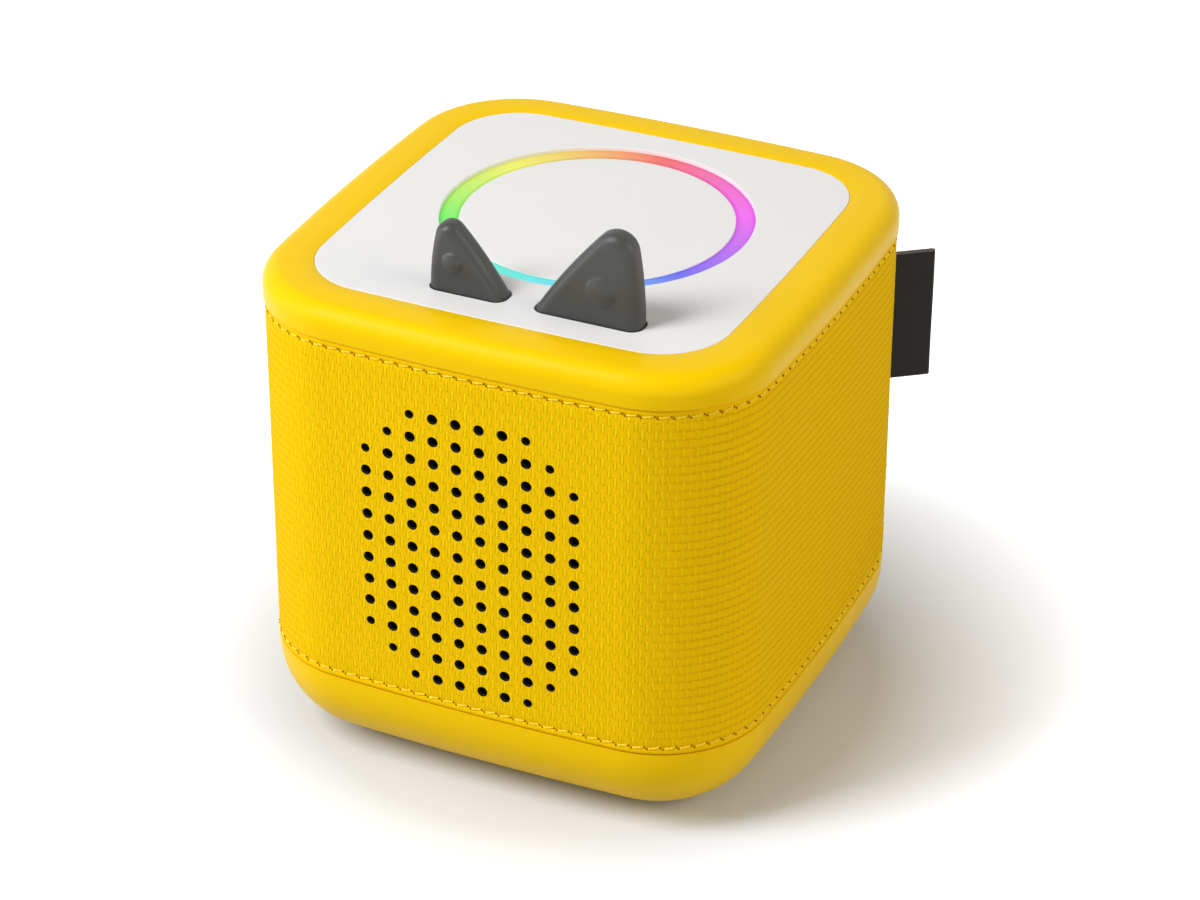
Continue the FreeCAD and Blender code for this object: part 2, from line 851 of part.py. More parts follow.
def base_tub():
    """Lower shell with a wide round bottom edge, screw bosses, foot recesses and the rear panel."""
    tub = helper_body("tub_shell")
    body_outline(Profile(tub, "z"), 0).pad(base_bottom, s.base_line)
    dress(tub, "Fillet", s.base_fillet, flat_at("z", base_bottom))
    hollow(tub, s.tub_wall, s.base_line)
    circles(Profile(tub, "z"), base_screw_places, s.boss_radius).pad(
        tub_floor_top - s.tub_wall / 2, s.boss_top)
    circles(Profile(tub, "z"), base_screw_places, s.screw_radius + s.head_clearance).pocket(
        base_bottom, s.boss_top)
    circles(Profile(tub, "z"), base_screw_places, s.screw_head_radius + s.head_clearance).pocket(
        base_bottom, base_bottom + s.screw_seat_depth)
    circles(Profile(tub, "z"), foot_places, s.foot_radius + s.foot_clearance).pocket(
        base_bottom, base_bottom + s.foot_recess)
    wall = helper_body("rear_wall")
    band(wall, 0, s.tub_wall, s.base_line, s.rear_panel_top)
    port_holes(wall, corner_centre, body_half + s.tub_wall)
    panel = combine("Common", "rear_panel", wall, panel_space)
    return keep(combine("Fuse", "base_tub", tub, panel), "base_tub")


def rubber_feet():
    feet = new_body("rubber_feet")
    circles(Profile(feet, "z"), foot_places, s.foot_radius).pad(0, base_bottom + s.foot_recess)
    dress(feet, "Fillet", s.foot_edge_fillet, flat_at("z", 0))


base_tub()
rubber_feet()
screws("base_screws", "z", base_screw_places, base_bottom + s.screw_seat_depth, s.screw_length, -1)


# ------------------------------------------------------------------ housing, foam and fabric

post_places = four_places(s.corner_post_spread, s.corner_post_spread)
standoff_side = s.main_board_width / 2 - s.standoff_inset
standoff_places = [
    (side, depth)
    for side in (standoff_side, -standoff_side)
    for depth in (s.main_board_front + s.standoff_inset, s.main_board_back - s.standoff_port_inset)]
speaker_screw_places = [
    (across * s.speaker_screw_spread, s.speaker_height + up * s.speaker_screw_spread)
    for across in (-1, 1) for up in (-1, 1)]


def inner_housing():
    """Box that carries the speaker, the boards and the top, open upwards."""
    housing = new_body("inner_housing")
    floor_top = s.housing_floor_height + s.housing_floor
    body_outline(Profile(housing, "z"), housing_inset).pad(s.housing_floor_height, chassis_bottom)
    body_outline(Profile(housing, "z"), housing_inset + s.housing_wall).pocket(floor_top, chassis_bottom)
    circles(Profile(housing, "z"), post_places, s.corner_post_radius).pad(
        s.housing_floor_height, chassis_bottom)
    circles(Profile(housing, "z"), post_places, s.screw_radius + s.thread_clearance).pocket(
        chassis_bottom - s.screw_length, chassis_bottom)
    circles(Profile(housing, "z"), base_screw_places, s.boss_radius).pad(s.boss_top, floor_top)
    circles(Profile(housing, "z"), base_screw_places, s.screw_radius + s.thread_clearance).pocket(
        s.boss_top, s.housing_floor_height)
    circles(Profile(housing, "z"), standoff_places, s.standoff_radius).pad(floor_top, board_underside)
    circles(Profile(housing, "z"), standoff_places, s.small_screw_radius + s.thread_clearance).pocket(
        floor_top, board_underside)
    pad_half = s.speaker_pad_width / 2
    wall_front = -(body_half - housing_inset)
    Profile(housing, "y").rectangle(
        -pad_half, pad_half, s.speaker_height - pad_half, s.speaker_height + pad_half).pad(
        wall_front + s.housing_wall / 2, speaker_face)
    Profile(housing, "y").circle(0, s.speaker_height, s.speaker_opening_radius).pocket(
        wall_front - s.housing_wall, speaker_face)
    circles(Profile(housing, "y"), speaker_screw_places, s.small_screw_radius + s.thread_clearance).pocket(
        speaker_face - s.housing_wall, speaker_face)
    port_holes(housing, corner_centre, body_half)
    Profile(housing, "z").circle(-s.battery_lead_side, 0, s.battery_lead_hole).pocket(
        s.housing_floor_height, floor_top)
    return housing


def top_chassis():
    """Flat frame that closes the housing and carries the light ring, the reader and the ears."""
    chassis = new_body("top_chassis")
    body_outline(Profile(chassis, "z"), housing_inset).pad(chassis_bottom, chassis_top)
    ring = Profile(chassis, "z")
    for radius in (s.reader_boss_outer_radius, s.reader_boss_inner_radius):
        ring.circle(0, s.ring_centre_depth, radius)
    ring.pad(chassis_top, chassis_top + s.reader_boss_height)
    circles(Profile(chassis, "z"), post_places, s.screw_radius + s.head_clearance).pocket(
        chassis_bottom, chassis_top)
    dress(chassis, "Chamfer", s.screw_head_radius - s.screw_radius,
          circles_at("z", chassis_top, s.screw_radius + s.head_clearance))
    circles(Profile(chassis, "z"), ear_screw_places(), s.small_screw_radius + s.thread_clearance).pocket(
        chassis_bottom, chassis_top)
    half = s.flat_cable_width / 2 + s.head_clearance
    Profile(chassis, "z").rectangle(
        -half, half, s.flat_cable_depth - s.head_clearance,
        s.flat_cable_depth + s.flat_cable_thickness + s.head_clearance).pocket(chassis_bottom, chassis_top)
    return chassis


def chassis_screws():
    """Countersunk screws, flush with the chassis."""
    body = new_body("chassis_screws")
    top = chassis_top - s.shell_clearance
    cone = s.screw_head_radius - s.screw_radius
    head_bottom = top - cone - s.shell_clearance
    circles(Profile(body, "z"), post_places, s.screw_head_radius).pad(head_bottom, top)
    dress(body, "Chamfer", cone - TOLERANCE, flat_at("z", head_bottom))
    circles(Profile(body, "z"), post_places, s.screw_radius).pad(chassis_bottom - s.screw_length / 2, top)
    drive(Profile(body, "z"), post_places, s.drive_width).pocket(top - cone / 2, top)


def tag_frame(item):
    """Stand a body on the back right corner, with its own X pointing out of the corner."""
    turn = s.tag_angle
    bind(item, ".Placement.Rotation.Angle", turn)
    bind(item, ".Placement.Base.x", corner_centre + s.corner_radius * turn.cosine())
    bind(item, ".Placement.Base.y", corner_centre + s.corner_radius * turn.sine())
    bind(item, ".Placement.Base.z", s.tag_centre_height)


def tag_shape(body, grow):
    """A folded label: two layers with a round fold at the outer end."""
    half = s.tag_thickness / 2 + grow
    root = -soft_thickness + s.shell_clearance - grow
    fold = s.tag_reach - s.tag_thickness / 2
    Profile(body, "z").path(
        (root, -half), (fold, -half), (fold + half, 0, half), (fold, half, half), (root, half),
        (root, -half)).pad(-s.tag_height / 2 - grow, s.tag_height / 2 + grow)


def soft_wrap(label, outer, inner):
    """One closed layer of the wrap around the housing."""
    ring = helper_body(label + "_band")
    band(ring, outer, inner, fabric_bottom, fabric_top)
    return ring


def side_tag():
    tag = new_body("side_tag")
    tag_shape(tag, 0)
    tag_frame(tag)
    slit = helper_body("tag_slit")
    tag_shape(slit, s.tag_slit_clearance)
    tag_frame(slit)
    return slit


grille_half_width = s.grille_pitch * (s.grille_columns - 1) / 2
grille_half_height = s.grille_pitch * ((s.grille_middle_rows - 1) / 2 + 2)
# columns, rows, and how many rows beyond the middle block they lie
grille_rows = (
    (s.grille_columns, s.grille_middle_rows, 0),
    (s.grille_columns - 2, 2, 1),
    (s.grille_columns - 4, 2, 2))


def grille(ring):
    """Holes in a block of full rows with two shorter rows above it and two below."""
    middle = (s.grille_middle_rows - 1) / 2
    for columns, rows, step in grille_rows:
        reach = s.grille_pitch * (columns - 1) / 2
        rise = s.grille_pitch * (middle + step)
        hole = Profile(ring, "y", -reach, s.grille_centre_height - rise).circle(0, 0, s.grille_hole_radius)
        cut = hole.pocket(-body_half - s.fabric_thickness, -body_half + 2 * soft_thickness)
        hole.block(cut, columns, 2 * reach, rows, 2 * rise)


def window_outline(profile, inset):
    """The opening in the foam behind the holes."""
    margin = s.grille_hole_radius + s.grille_margin - inset
    half = grille_half_width + margin
    rise = grille_half_height + margin
    return profile.rounded(-half, half, s.grille_centre_height - rise, s.grille_centre_height + rise,
                           s.window_corner_radius - inset)


def wraps():
    slit = side_tag()
    fabric = soft_wrap("fabric", 0, s.fabric_thickness)
    grille(fabric)
    foam = soft_wrap("foam", s.fabric_thickness, soft_thickness)
    window_outline(Profile(foam, "y"), 0).pocket(-body_half, -corner_centre)
    for label, layer in (("fabric_wrap", fabric), ("foam_liner", foam)):
        open_back = combine("Cut", label + "_open", layer, fabric_cutout)
        keep(combine("Cut", label, open_back, slit), label)
    mesh_band = helper_body("mesh_band")
    band(mesh_band, soft_thickness - s.mesh_thickness, soft_thickness, fabric_bottom, fabric_top)
    mesh_space = helper_body("mesh_space")
    window_outline(Profile(mesh_space, "y"), s.mesh_clearance).pad(-body_half, -corner_centre)
    keep(combine("Common", "speaker_mesh", mesh_band, mesh_space), "speaker_mesh")


# ------------------------------------------------------------------ top rim, plate and seat

def top_rim():
    """Smooth ring around the plate: a channel section with a tongue inside the fabric's top edge."""
    rim = new_body("top_rim")
    inner = s.plate_width / 2 + s.plate_gap
    opening = (s.plate_side_arc_radius + s.plate_gap, s.plate_corner_radius + s.plate_gap)
    body_outline(Profile(rim, "z"), -s.rim_bulge).pad(fabric_top, s.body_height)
    dress(rim, "Fillet", s.rim_top_fillet, flat_at("z", s.body_height))
    dress(rim, "Fillet", s.rim_tuck_fillet, flat_at("z", fabric_top))
    body_outline(Profile(rim, "z"), soft_thickness + s.shell_clearance).pad(chassis_top, fabric_top)
    Profile(rim, "z").crowned_square(inner, *opening).pocket(chassis_top, s.body_height)
    channel = Profile(rim, "z")
    body_outline(channel, soft_thickness + s.rim_wall)
    channel.crowned_square(inner + s.rim_wall, opening[0] + s.rim_wall, opening[1] + s.rim_wall)
    channel.pocket(chassis_top, s.body_height - s.rim_roof)
    dress(rim, "Fillet", s.rim_edge_fillet, inner_loop_at(s.body_height, inner))
    return rim


def inner_loop_at(level, half):
    """A test for the edges at a height that lie no further out than a half width."""
    flat = flat_at("z", level)

    def chosen(edge):
        box = edge.BoundBox
        reach = max(abs(box.XMin), abs(box.XMax), abs(box.YMin), abs(box.YMax))
        return flat(edge) and reach < float(half) + TOLERANCE
    return chosen


def top_plate():
    """White tray, upside down, with the round opening for the ring and seat and two ear slots."""
    plate = new_body("top_plate")
    plate_outline(Profile(plate, "z"), 0).pad(chassis_top, s.body_height)
    dress(plate, "Fillet", s.plate_edge_fillet, flat_at("z", s.body_height))
    plate_outline(Profile(plate, "z"), s.plate_wall).pocket(chassis_top, plate_underside)
    Profile(plate, "z").circle(0, s.ring_centre_depth, s.ring_outer_radius + s.ring_clearance).pocket(
        plate_underside, s.body_height)
    gap = s.ear_slot_gap
    for shape in ears:
        Profile(plate, "z").rounded(
            shape.left - gap, shape.right + gap, -s.ear_front_depth - gap,
            s.ear_thickness - s.ear_front_depth + gap, s.ear_edge_fillet + gap).pocket(
            plate_underside, s.body_height)
    return plate


def light_ring():
    """Light guide, the white baffle around its lamps, the lamps and their board."""
    guide = new_body("light_guide_ring")
    led_top = led_board_top + s.led_height
    flange_top = plate_underside - s.ring_clearance
    flange_bottom = flange_top - s.ring_flange_thickness
    outer, inner = s.ring_outer_radius, s.ring_inner_radius
    reach = outer + s.ring_flange_reach
    guide_bottom = led_top + s.ring_clearance
    Profile(guide, "y").polygon(
        (inner, guide_bottom), (outer, guide_bottom), (outer, flange_bottom), (reach, flange_bottom),
        (reach, flange_top), (outer, flange_top), (outer, seat_top), (inner, seat_top)).turn(
        s.ring_centre_depth, "V_Axis")
    baffle = new_body("light_baffle")
    wall_in, wall_out = inner - 2 * s.ring_clearance, outer + 2 * s.ring_clearance
    floor_top = led_board_top + s.baffle_floor
    Profile(baffle, "y").polygon(
        (wall_in - s.baffle_inner_wall, led_board_top), (wall_out + s.baffle_outer_wall, led_board_top),
        (wall_out + s.baffle_outer_wall, flange_bottom), (wall_out, flange_bottom), (wall_out, floor_top),
        (wall_in, floor_top), (wall_in, seat_bottom), (wall_in - s.baffle_inner_wall, seat_bottom)).turn(
        s.ring_centre_depth, "V_Axis")
    led_radius = (inner + outer) / 2
    half = s.led_width / 2
    hole_half = half + s.head_clearance
    window = Profile(baffle, "z", 0, s.ring_centre_depth).rectangle(
        led_radius - hole_half, led_radius + hole_half, -hole_half, hole_half)
    window.around(window.pocket(led_board_top, floor_top), s.led_count)
    leds = new_body("ring_leds")
    led = Profile(leds, "z", 0, s.ring_centre_depth).rectangle(
        led_radius - half, led_radius + half, -half, half)
    led.around(led.pad(led_board_top, led_top), s.led_count)
    board = new_body("led_ring_board")
    rings = Profile(board, "z")
    for radius in (s.led_board_outer_radius, s.led_board_inner_radius):
        rings.circle(0, s.ring_centre_depth, radius)
    rings.pad(chassis_top, led_board_top)


def figure_seat():
    """Seat disc, magnet in its cup, and the reader board with its flat coil."""
    seat = new_body("seat_disc")
    Profile(seat, "z").circle(0, s.ring_centre_depth, s.ring_inner_radius - s.ring_clearance).pad(
        seat_bottom, seat_top)
    dress(seat, "Fillet", s.seat_edge_fillet, flat_at("z", seat_top))
    magnet_top = seat_bottom - s.magnet_clearance
    magnet_bottom = magnet_top - s.magnet_thickness
    cup = new_body("magnet_holder")
    Profile(cup, "z").circle(0, s.ring_centre_depth, s.magnet_cup_radius).pad(chassis_top, magnet_top)
    Profile(cup, "z").circle(0, s.ring_centre_depth, s.magnet_radius + s.magnet_clearance).pocket(
        magnet_bottom, magnet_top)
    magnet = new_body("seat_magnet")
    Profile(magnet, "z").circle(0, s.ring_centre_depth, s.magnet_radius).pad(magnet_bottom, magnet_top)
    board = new_body("reader_board")
    board_bottom = chassis_top + s.reader_boss_height
    reader_top = board_bottom + s.reader_board_thickness
    rings = Profile(board, "z")
    for radius in (s.reader_board_radius, s.magnet_cup_radius + s.head_clearance):
        rings.circle(0, s.ring_centre_depth, radius)
    rings.pad(board_bottom, reader_top)
    coil = new_body("antenna_coil")
    tracks = Profile(coil, "z")
    for turn in range(int(float(s.coil_turns))):
        outer = s.coil_outer_radius - turn * (s.coil_track + s.coil_gap)
        tracks.circle(0, s.ring_centre_depth, outer)
        tracks.circle(0, s.ring_centre_depth, outer - s.coil_track)
    tracks.pad(reader_top, reader_top + s.coil_thickness)


# ------------------------------------------------------------------ ears

class Ear:
    """The sizes of one ear; side is 1 where its upright back is on the right and -1 on the left."""

    def __init__(self, name, action, side, slope, back, apex, radii, dome):
        self.name = name
        self.action = action
        self.side = side
        self.slope, self.back = slope, back
        self.left, self.right = (slope, back) if side > 0 else (back, slope)
        self.apex_side, self.apex_height = apex
        self.apex_radius, self.slope_radius = radii
        self.dome_side, self.dome_height, self.dome_radius = dome


ears = (
    Ear("large", "volume_up", 1, s.large_ear_left, s.large_ear_right,
        (s.large_apex_side, s.large_apex_height), (s.large_apex_radius, s.large_slope_radius),
        (s.large_dome_side, s.large_dome_height, s.large_dome_radius)),
    Ear("small", "volume_down", -1, s.small_ear_right, s.small_ear_left,
        (s.small_apex_side, s.small_apex_height), (s.small_apex_radius, s.small_slope_radius),
        (s.small_dome_side, s.small_dome_height, s.small_dome_radius)),
)

ear_front = -s.ear_front_depth
ear_back = ear_front + s.ear_thickness
core_front = ear_front + s.ear_skin
core_back = ear_back - s.ear_skin
ear_foot_top = chassis_top + s.ear_foot_thickness
switch_front = core_front + s.switch_depth


def ear_screw_places():
    """Two screws in the foot of each ear, in front of the ear."""
    return [(side, ear_front - s.ear_screw_front)
            for shape in ears
            for side in (shape.left + s.ear_screw_inset, shape.right - s.ear_screw_inset)]


def perimeter(edge):
    """The rim of an ear, front and back, but not its foot."""
    box = edge.BoundBox
    flat = box.YMax - box.YMin < TOLERANCE
    level = box.ZMax - box.ZMin < TOLERANCE and box.ZMax < float(plate_underside)
    return flat and not level


def ear_skin(shape):
    """Soft grey cover with a round hole for the press dome."""
    skin = new_body("ear_skin_" + shape.name)
    Profile(skin, "y").ear(shape, ear_foot_top, 0).pad(ear_front, ear_back)
    dress(skin, "Fillet", s.ear_edge_fillet, perimeter)
    Profile(skin, "y").ear(shape, ear_foot_top, s.ear_skin).pocket(core_front, core_back)
    height = s.body_height + shape.dome_height
    Profile(skin, "y").circle(shape.dome_side, height, shape.dome_radius + s.dome_clearance).pocket(
        ear_front, core_front)


def ear_core(shape):
    """Hard blade inside the skin, with a screwed foot and a channel for the switch board."""
    core = new_body("ear_core_" + shape.name)
    Profile(core, "y").ear(shape, chassis_top, s.ear_skin).pad(core_front, core_back)
    Profile(core, "z").rectangle(
        shape.left - s.ear_foot_reach, shape.right + s.ear_foot_reach,
        ear_front - s.ear_foot_front, ear_back + s.ear_foot_reach).pad(chassis_top, ear_foot_top)
    places = [place for place in ear_screw_places()
              if float(shape.left) < float(place[0]) < float(shape.right)]
    circles(Profile(core, "z"), places, s.small_screw_radius + s.head_clearance).pocket(
        chassis_top, ear_foot_top)
    half = s.ear_board_width / 2 + s.ear_channel_clearance
    Profile(core, "y").rectangle(
        shape.dome_side - half, shape.dome_side + half, ear_foot_top,
        s.body_height + shape.dome_height + half + s.ear_channel_clearance).pocket(
        core_front, core_front + s.ear_channel_depth)


def ear_button(shape):
    """Press dome with its stem, the tact switch behind it and the board strip that carries it."""
    height = s.body_height + shape.dome_height
    rim_back = ear_front + s.dome_rim
    stem_end = switch_front - s.plunger_rise - s.switch_gap
    crown = (shape.dome_radius * shape.dome_radius + s.dome_rise * s.dome_rise) / (2 * s.dome_rise)
    button = new_body(shape.action + "_button")
    Profile(button, "x", 0, height).path(
        (ear_front - s.dome_rise, 0), (stem_end, 0), (stem_end, s.button_stem_radius),
        (rim_back, s.button_stem_radius), (rim_back, shape.dome_radius), (ear_front, shape.dome_radius),
        (ear_front - s.dome_rise, 0, crown)).turn(shape.dome_side, "H_Axis")
    plunger = new_body(shape.action + "_plunger")
    front = switch_front - s.plunger_rise
    Profile(plunger, "y").circle(shape.dome_side, height, s.plunger_radius).pad(
        front, front + s.plunger_length)
    switch = new_body(shape.action + "_switch")
    half = s.switch_width / 2
    switch_back = switch_front + s.switch_thickness
    Profile(switch, "y").rectangle(
        shape.dome_side - half, shape.dome_side + half, height - half, height + half).pad(
        switch_front, switch_back)
    Profile(switch, "y").circle(shape.dome_side, height, s.plunger_radius + s.switch_gap).pocket(
        switch_front, front + s.plunger_length + s.press_travel + 2 * s.switch_gap)
    board = new_body("ear_board_" + shape.name)
    half_board = s.ear_board_width / 2
    Profile(board, "y").rectangle(
        shape.dome_side - half_board, shape.dome_side + half_board, ear_foot_top + s.switch_gap,
        height + half_board).pad(switch_back, switch_back + s.ear_board_thickness)


# ------------------------------------------------------------------ speaker

def speaker_turned(label, *corners):
    """A ring or disc of the speaker from corners given as radius and depth behind its flange."""
    body = new_body(label)
    points = [(flange_face + depth, radius) for radius, depth in corners]
    Profile(body, "x", 0, s.speaker_height).polygon(*points).turn(0, "H_Axis")
    return body


flange_face = speaker_face + s.gasket_thickness + s.surround_lip
winding_radius = s.coil_inner_radius + s.coil_former + s.coil_winding
pole_radius = s.coil_inner_radius - s.coil_air_gap
plate_bore = winding_radius + s.coil_air_gap


def speaker_frame():
    """Gasket, basket and surround: the parts that are held against the housing."""
    lip = s.surround_lip
    opening = s.speaker_opening_radius
    gasket = new_body("speaker_gasket")
    Profile(gasket, "y").circle(0, s.speaker_height, s.gasket_outer_radius).circle(
        0, s.speaker_height, opening).pad(speaker_face, speaker_face + s.gasket_thickness)
    basket = new_body("speaker_basket")
    half = s.speaker_flange_width / 2
    Profile(basket, "y").rounded(
        -half, half, s.speaker_height - half, s.speaker_height + half, s.speaker_flange_corner).circle(
        0, s.speaker_height, opening).pad(flange_face, flange_face + s.speaker_flange_thickness)
    skin, front, back = s.basket_skin, s.speaker_flange_thickness, s.basket_depth
    ledge = s.spider_ledge_depth
    slant = (opening - s.basket_rear_radius) / (back - front)
    ledge_radius = opening - slant * (ledge - front)
    ledge_inner = ledge_radius - s.spider_ledge_width
    rear = s.basket_rear_radius
    corners = ((opening, front), (ledge_radius, ledge), (ledge_inner, ledge), (ledge_inner, back),
               (plate_bore + skin, back), (plate_bore + skin, back + skin), (rear, back + skin),
               (rear + skin, back), (opening + skin, front))
    points = [(flange_face + depth, radius) for radius, depth in corners]
    Profile(basket, "x", 0, s.speaker_height).polygon(*points).turn(0, "H_Axis")
    window_half = s.basket_window_width / 2
    near, far = flange_face + front + skin, flange_face + ledge - skin
    reach = s.speaker_flange_width
    Profile(basket, "z").rectangle(-window_half, window_half, near, far).pocket(
        s.speaker_height - reach, s.speaker_height + reach)
    Profile(basket, "x").rectangle(
        near, far, s.speaker_height - window_half, s.speaker_height + window_half).pocket(-reach, reach)
    circles(Profile(basket, "y"), speaker_screw_places, s.small_screw_radius + s.head_clearance).pocket(
        flange_face, flange_face + s.speaker_flange_thickness)
    roll_in = s.cone_radius + s.surround_gap
    roll_out = opening - s.surround_gap
    bend = (roll_out - roll_in) / 2 * ROLL_SHARE
    thin = s.surround_skin
    lip_front = flange_face - lip
    surround = new_body("speaker_surround")
    Profile(surround, "x", 0, s.speaker_height).path(
        (lip_front, s.gasket_outer_radius), (lip_front, roll_out), (lip_front, roll_in, bend),
        (lip_front + thin, roll_in), (lip_front + thin, roll_in + thin),
        (lip_front + thin, roll_out - thin, thin - bend), (flange_face, roll_out - thin),
        (flange_face, s.gasket_outer_radius), (lip_front, s.gasket_outer_radius)).turn(0, "H_Axis")
    spider_top = ledge - s.spider_thickness
    slack = s.surround_gap
    speaker_turned("speaker_spider", (winding_radius + 2 * slack, spider_top),
                   (ledge_radius - slack, spider_top), (ledge_radius - slack, ledge),
                   (winding_radius + 2 * slack, ledge))


def speaker_cone():
    """Cone, dust cap and voice coil: the parts that move."""
    former = s.coil_inner_radius + s.coil_former
    thick = s.cone_thickness
    speaker_turned("speaker_cone", (s.cone_radius, 0), (former, s.cone_depth),
                   (former, s.cone_depth + thick), (s.cone_radius, thick))
    front, back = s.coil_front, s.coil_back
    winding_front = s.basket_depth + s.basket_skin - s.coil_lead
    winding_back = back - s.coil_tail
    speaker_turned("voice_coil", (s.coil_inner_radius, front), (former, front), (former, winding_front),
                   (winding_radius, winding_front), (winding_radius, winding_back),
                   (former, winding_back), (former, back), (s.coil_inner_radius, back))
    cap = new_body("speaker_dust_cap")
    rise, cap_skin = s.dust_cap_rise, s.dust_cap_thickness
    outer = (former * former + rise * rise) / (2 * rise)
    inner_reach = former - cap_skin
    inner_rise = rise - cap_skin
    inner = (inner_reach * inner_reach + inner_rise * inner_rise) / (2 * inner_rise)
    edge = flange_face + front
    Profile(cap, "x", 0, s.speaker_height).path(
        (edge - rise, 0), (edge - rise + cap_skin, 0), (edge, inner_reach, -inner), (edge, former),
        (edge - rise, 0, outer)).turn(0, "H_Axis")


def speaker_motor():
    """Pole plate, ring magnet and the yoke with its pole."""
    plate_front = s.basket_depth + s.basket_skin
    plate_back = plate_front + s.pole_plate_thickness
    magnet_back = plate_back + s.speaker_magnet_thickness
    magnet_bore = plate_bore + s.basket_skin
    speaker_turned("pole_plate", (plate_bore, plate_front), (s.pole_plate_radius, plate_front),
                   (s.pole_plate_radius, plate_back), (plate_bore, plate_back))
    speaker_turned("speaker_magnet", (magnet_bore, plate_back), (s.speaker_magnet_radius, plate_back),
                   (s.speaker_magnet_radius, magnet_back), (magnet_bore, magnet_back))
    yoke_back = magnet_back + s.yoke_thickness
    pole_front = plate_front + s.coil_former
    speaker_turned("pole_yoke", (s.yoke_vent_radius, pole_front), (pole_radius, pole_front),
                   (pole_radius, magnet_back), (s.pole_plate_radius, magnet_back),
                   (s.pole_plate_radius, yoke_back), (s.yoke_vent_radius, yoke_back))


# ------------------------------------------------------------------ electronics

def main_board():
    half = s.main_board_width / 2
    board = new_body("main_board")
    Profile(board, "z").rounded(
        -half, half, s.main_board_front, s.main_board_back, s.main_board_corner).pad(
        board_underside, board_top)
    circles(Profile(board, "z"), standoff_places, s.small_screw_radius + s.head_clearance).pocket(
        board_underside, board_top)
    shield = new_body("processor_shield")
    for kind, inset in (("Pad", 0), ("Pocket", s.shield_wall)):
        wide, deep = s.shield_width / 2 - inset, s.shield_length / 2 - inset
        Profile(shield, "z").rounded(
            s.shield_side - wide, s.shield_side + wide, s.shield_depth - deep, s.shield_depth + deep,
            s.shield_corner - inset).extrude(kind, board_top, board_top + s.shield_height - inset)
    parts = new_body("board_parts")
    capacitors = Profile(parts, "z")
    for side in (s.capacitor_side, s.capacitor_side + s.capacitor_spacing):
        capacitors.circle(side, s.capacitor_depth, s.capacitor_radius)
    capacitors.pad(board_top, board_top + s.capacitor_height)
    for side, depth, width, height in (
            (s.amplifier_side, s.chip_depth, s.amplifier_width, s.chip_thickness),
            (s.charger_side, s.chip_depth, s.charger_width, s.chip_thickness),
            (s.choke_side, s.choke_depth, s.choke_width, s.choke_height)):
        Profile(parts, "z").rectangle(
            side - width / 2, side + width / 2, depth - width / 2, depth + width / 2).pad(
            board_top, board_top + height)


def jack_and_socket():
    """Headphone jack and charging socket at the back edge of the board."""
    rear = body_half
    jack = new_body("headphone_jack")
    nose_end = rear - s.jack_inset
    body_back = body_half - housing_inset - s.housing_wall - s.port_clearance
    half = s.jack_body_width / 2
    Profile(jack, "z").rectangle(
        s.jack_side - half, s.jack_side + half, body_back - s.jack_body_length, body_back).pad(
        board_top, board_top + s.jack_body_height)
    Profile(jack, "y").circle(s.jack_side, jack_height, s.jack_nose_radius - s.port_clearance / 2).pad(
        body_back - s.port_clearance, nose_end)
    Profile(jack, "y").circle(s.jack_side, jack_height, s.jack_bore_radius).pocket(
        nose_end - s.jack_bore_depth, nose_end)
    socket = new_body("charging_socket")
    mouth = rear - s.socket_inset
    base = mouth - s.socket_length
    wide, tall, wall = s.socket_width / 2, s.socket_height / 2, s.socket_wall

    def shell(inset):
        return Profile(socket, "y").rounded(
            s.socket_side - wide + inset, s.socket_side + wide - inset, socket_height - tall + inset,
            socket_height + tall - inset, tall - inset - TOLERANCE)
    shell(0).pad(base, mouth)
    shell(wall).pocket(base + 2 * wall, mouth)
    tongue_half, tongue_rise = s.socket_tongue_width / 2, s.socket_tongue_thickness / 2
    Profile(socket, "y").rectangle(
        s.socket_side - tongue_half, s.socket_side + tongue_half, socket_height - tongue_rise,
        socket_height + tongue_rise).pad(base + wall, mouth - 2 * wall)


def battery():
    """Two cells in a cradle on the tub floor, under a soft pad."""
    cradle = new_body("battery_cradle")
    trough = s.cell_radius + s.cradle_clearance
    cell_height = tub_floor_top + s.cradle_floor + trough
    half_length = s.cell_length / 2 + s.cell_button_height + s.cradle_clearance
    half_width = s.cell_spacing / 2 + trough
    wall = s.cradle_wall
    Profile(cradle, "z").rectangle(
        -half_length - wall, half_length + wall, -half_width - wall, half_width + wall).pad(
        tub_floor_top, cell_height)
    Profile(cradle, "x").circle(-s.cell_spacing / 2, cell_height, trough).pocket(-half_length, half_length)
    Profile(cradle, "x").circle(s.cell_spacing / 2, cell_height, trough).pocket(-half_length, half_length)
    cells = new_body("battery_cells")
    for side in (-1, 1):
        Profile(cells, "x").circle(side * s.cell_spacing / 2, cell_height, s.cell_radius).pad(
            -s.cell_length / 2, s.cell_length / 2)
        Profile(cells, "x").circle(side * s.cell_spacing / 2, cell_height, s.cell_button_radius).pad(
            s.cell_length / 2, s.cell_length / 2 + s.cell_button_height)
    pad = new_body("battery_pad")
    Profile(pad, "z").rectangle(
        -s.battery_pad_length / 2, s.battery_pad_length / 2, -s.battery_pad_width / 2,
        s.battery_pad_width / 2).pad(
        cell_height + s.cell_radius + s.cradle_clearance, s.housing_floor_height)


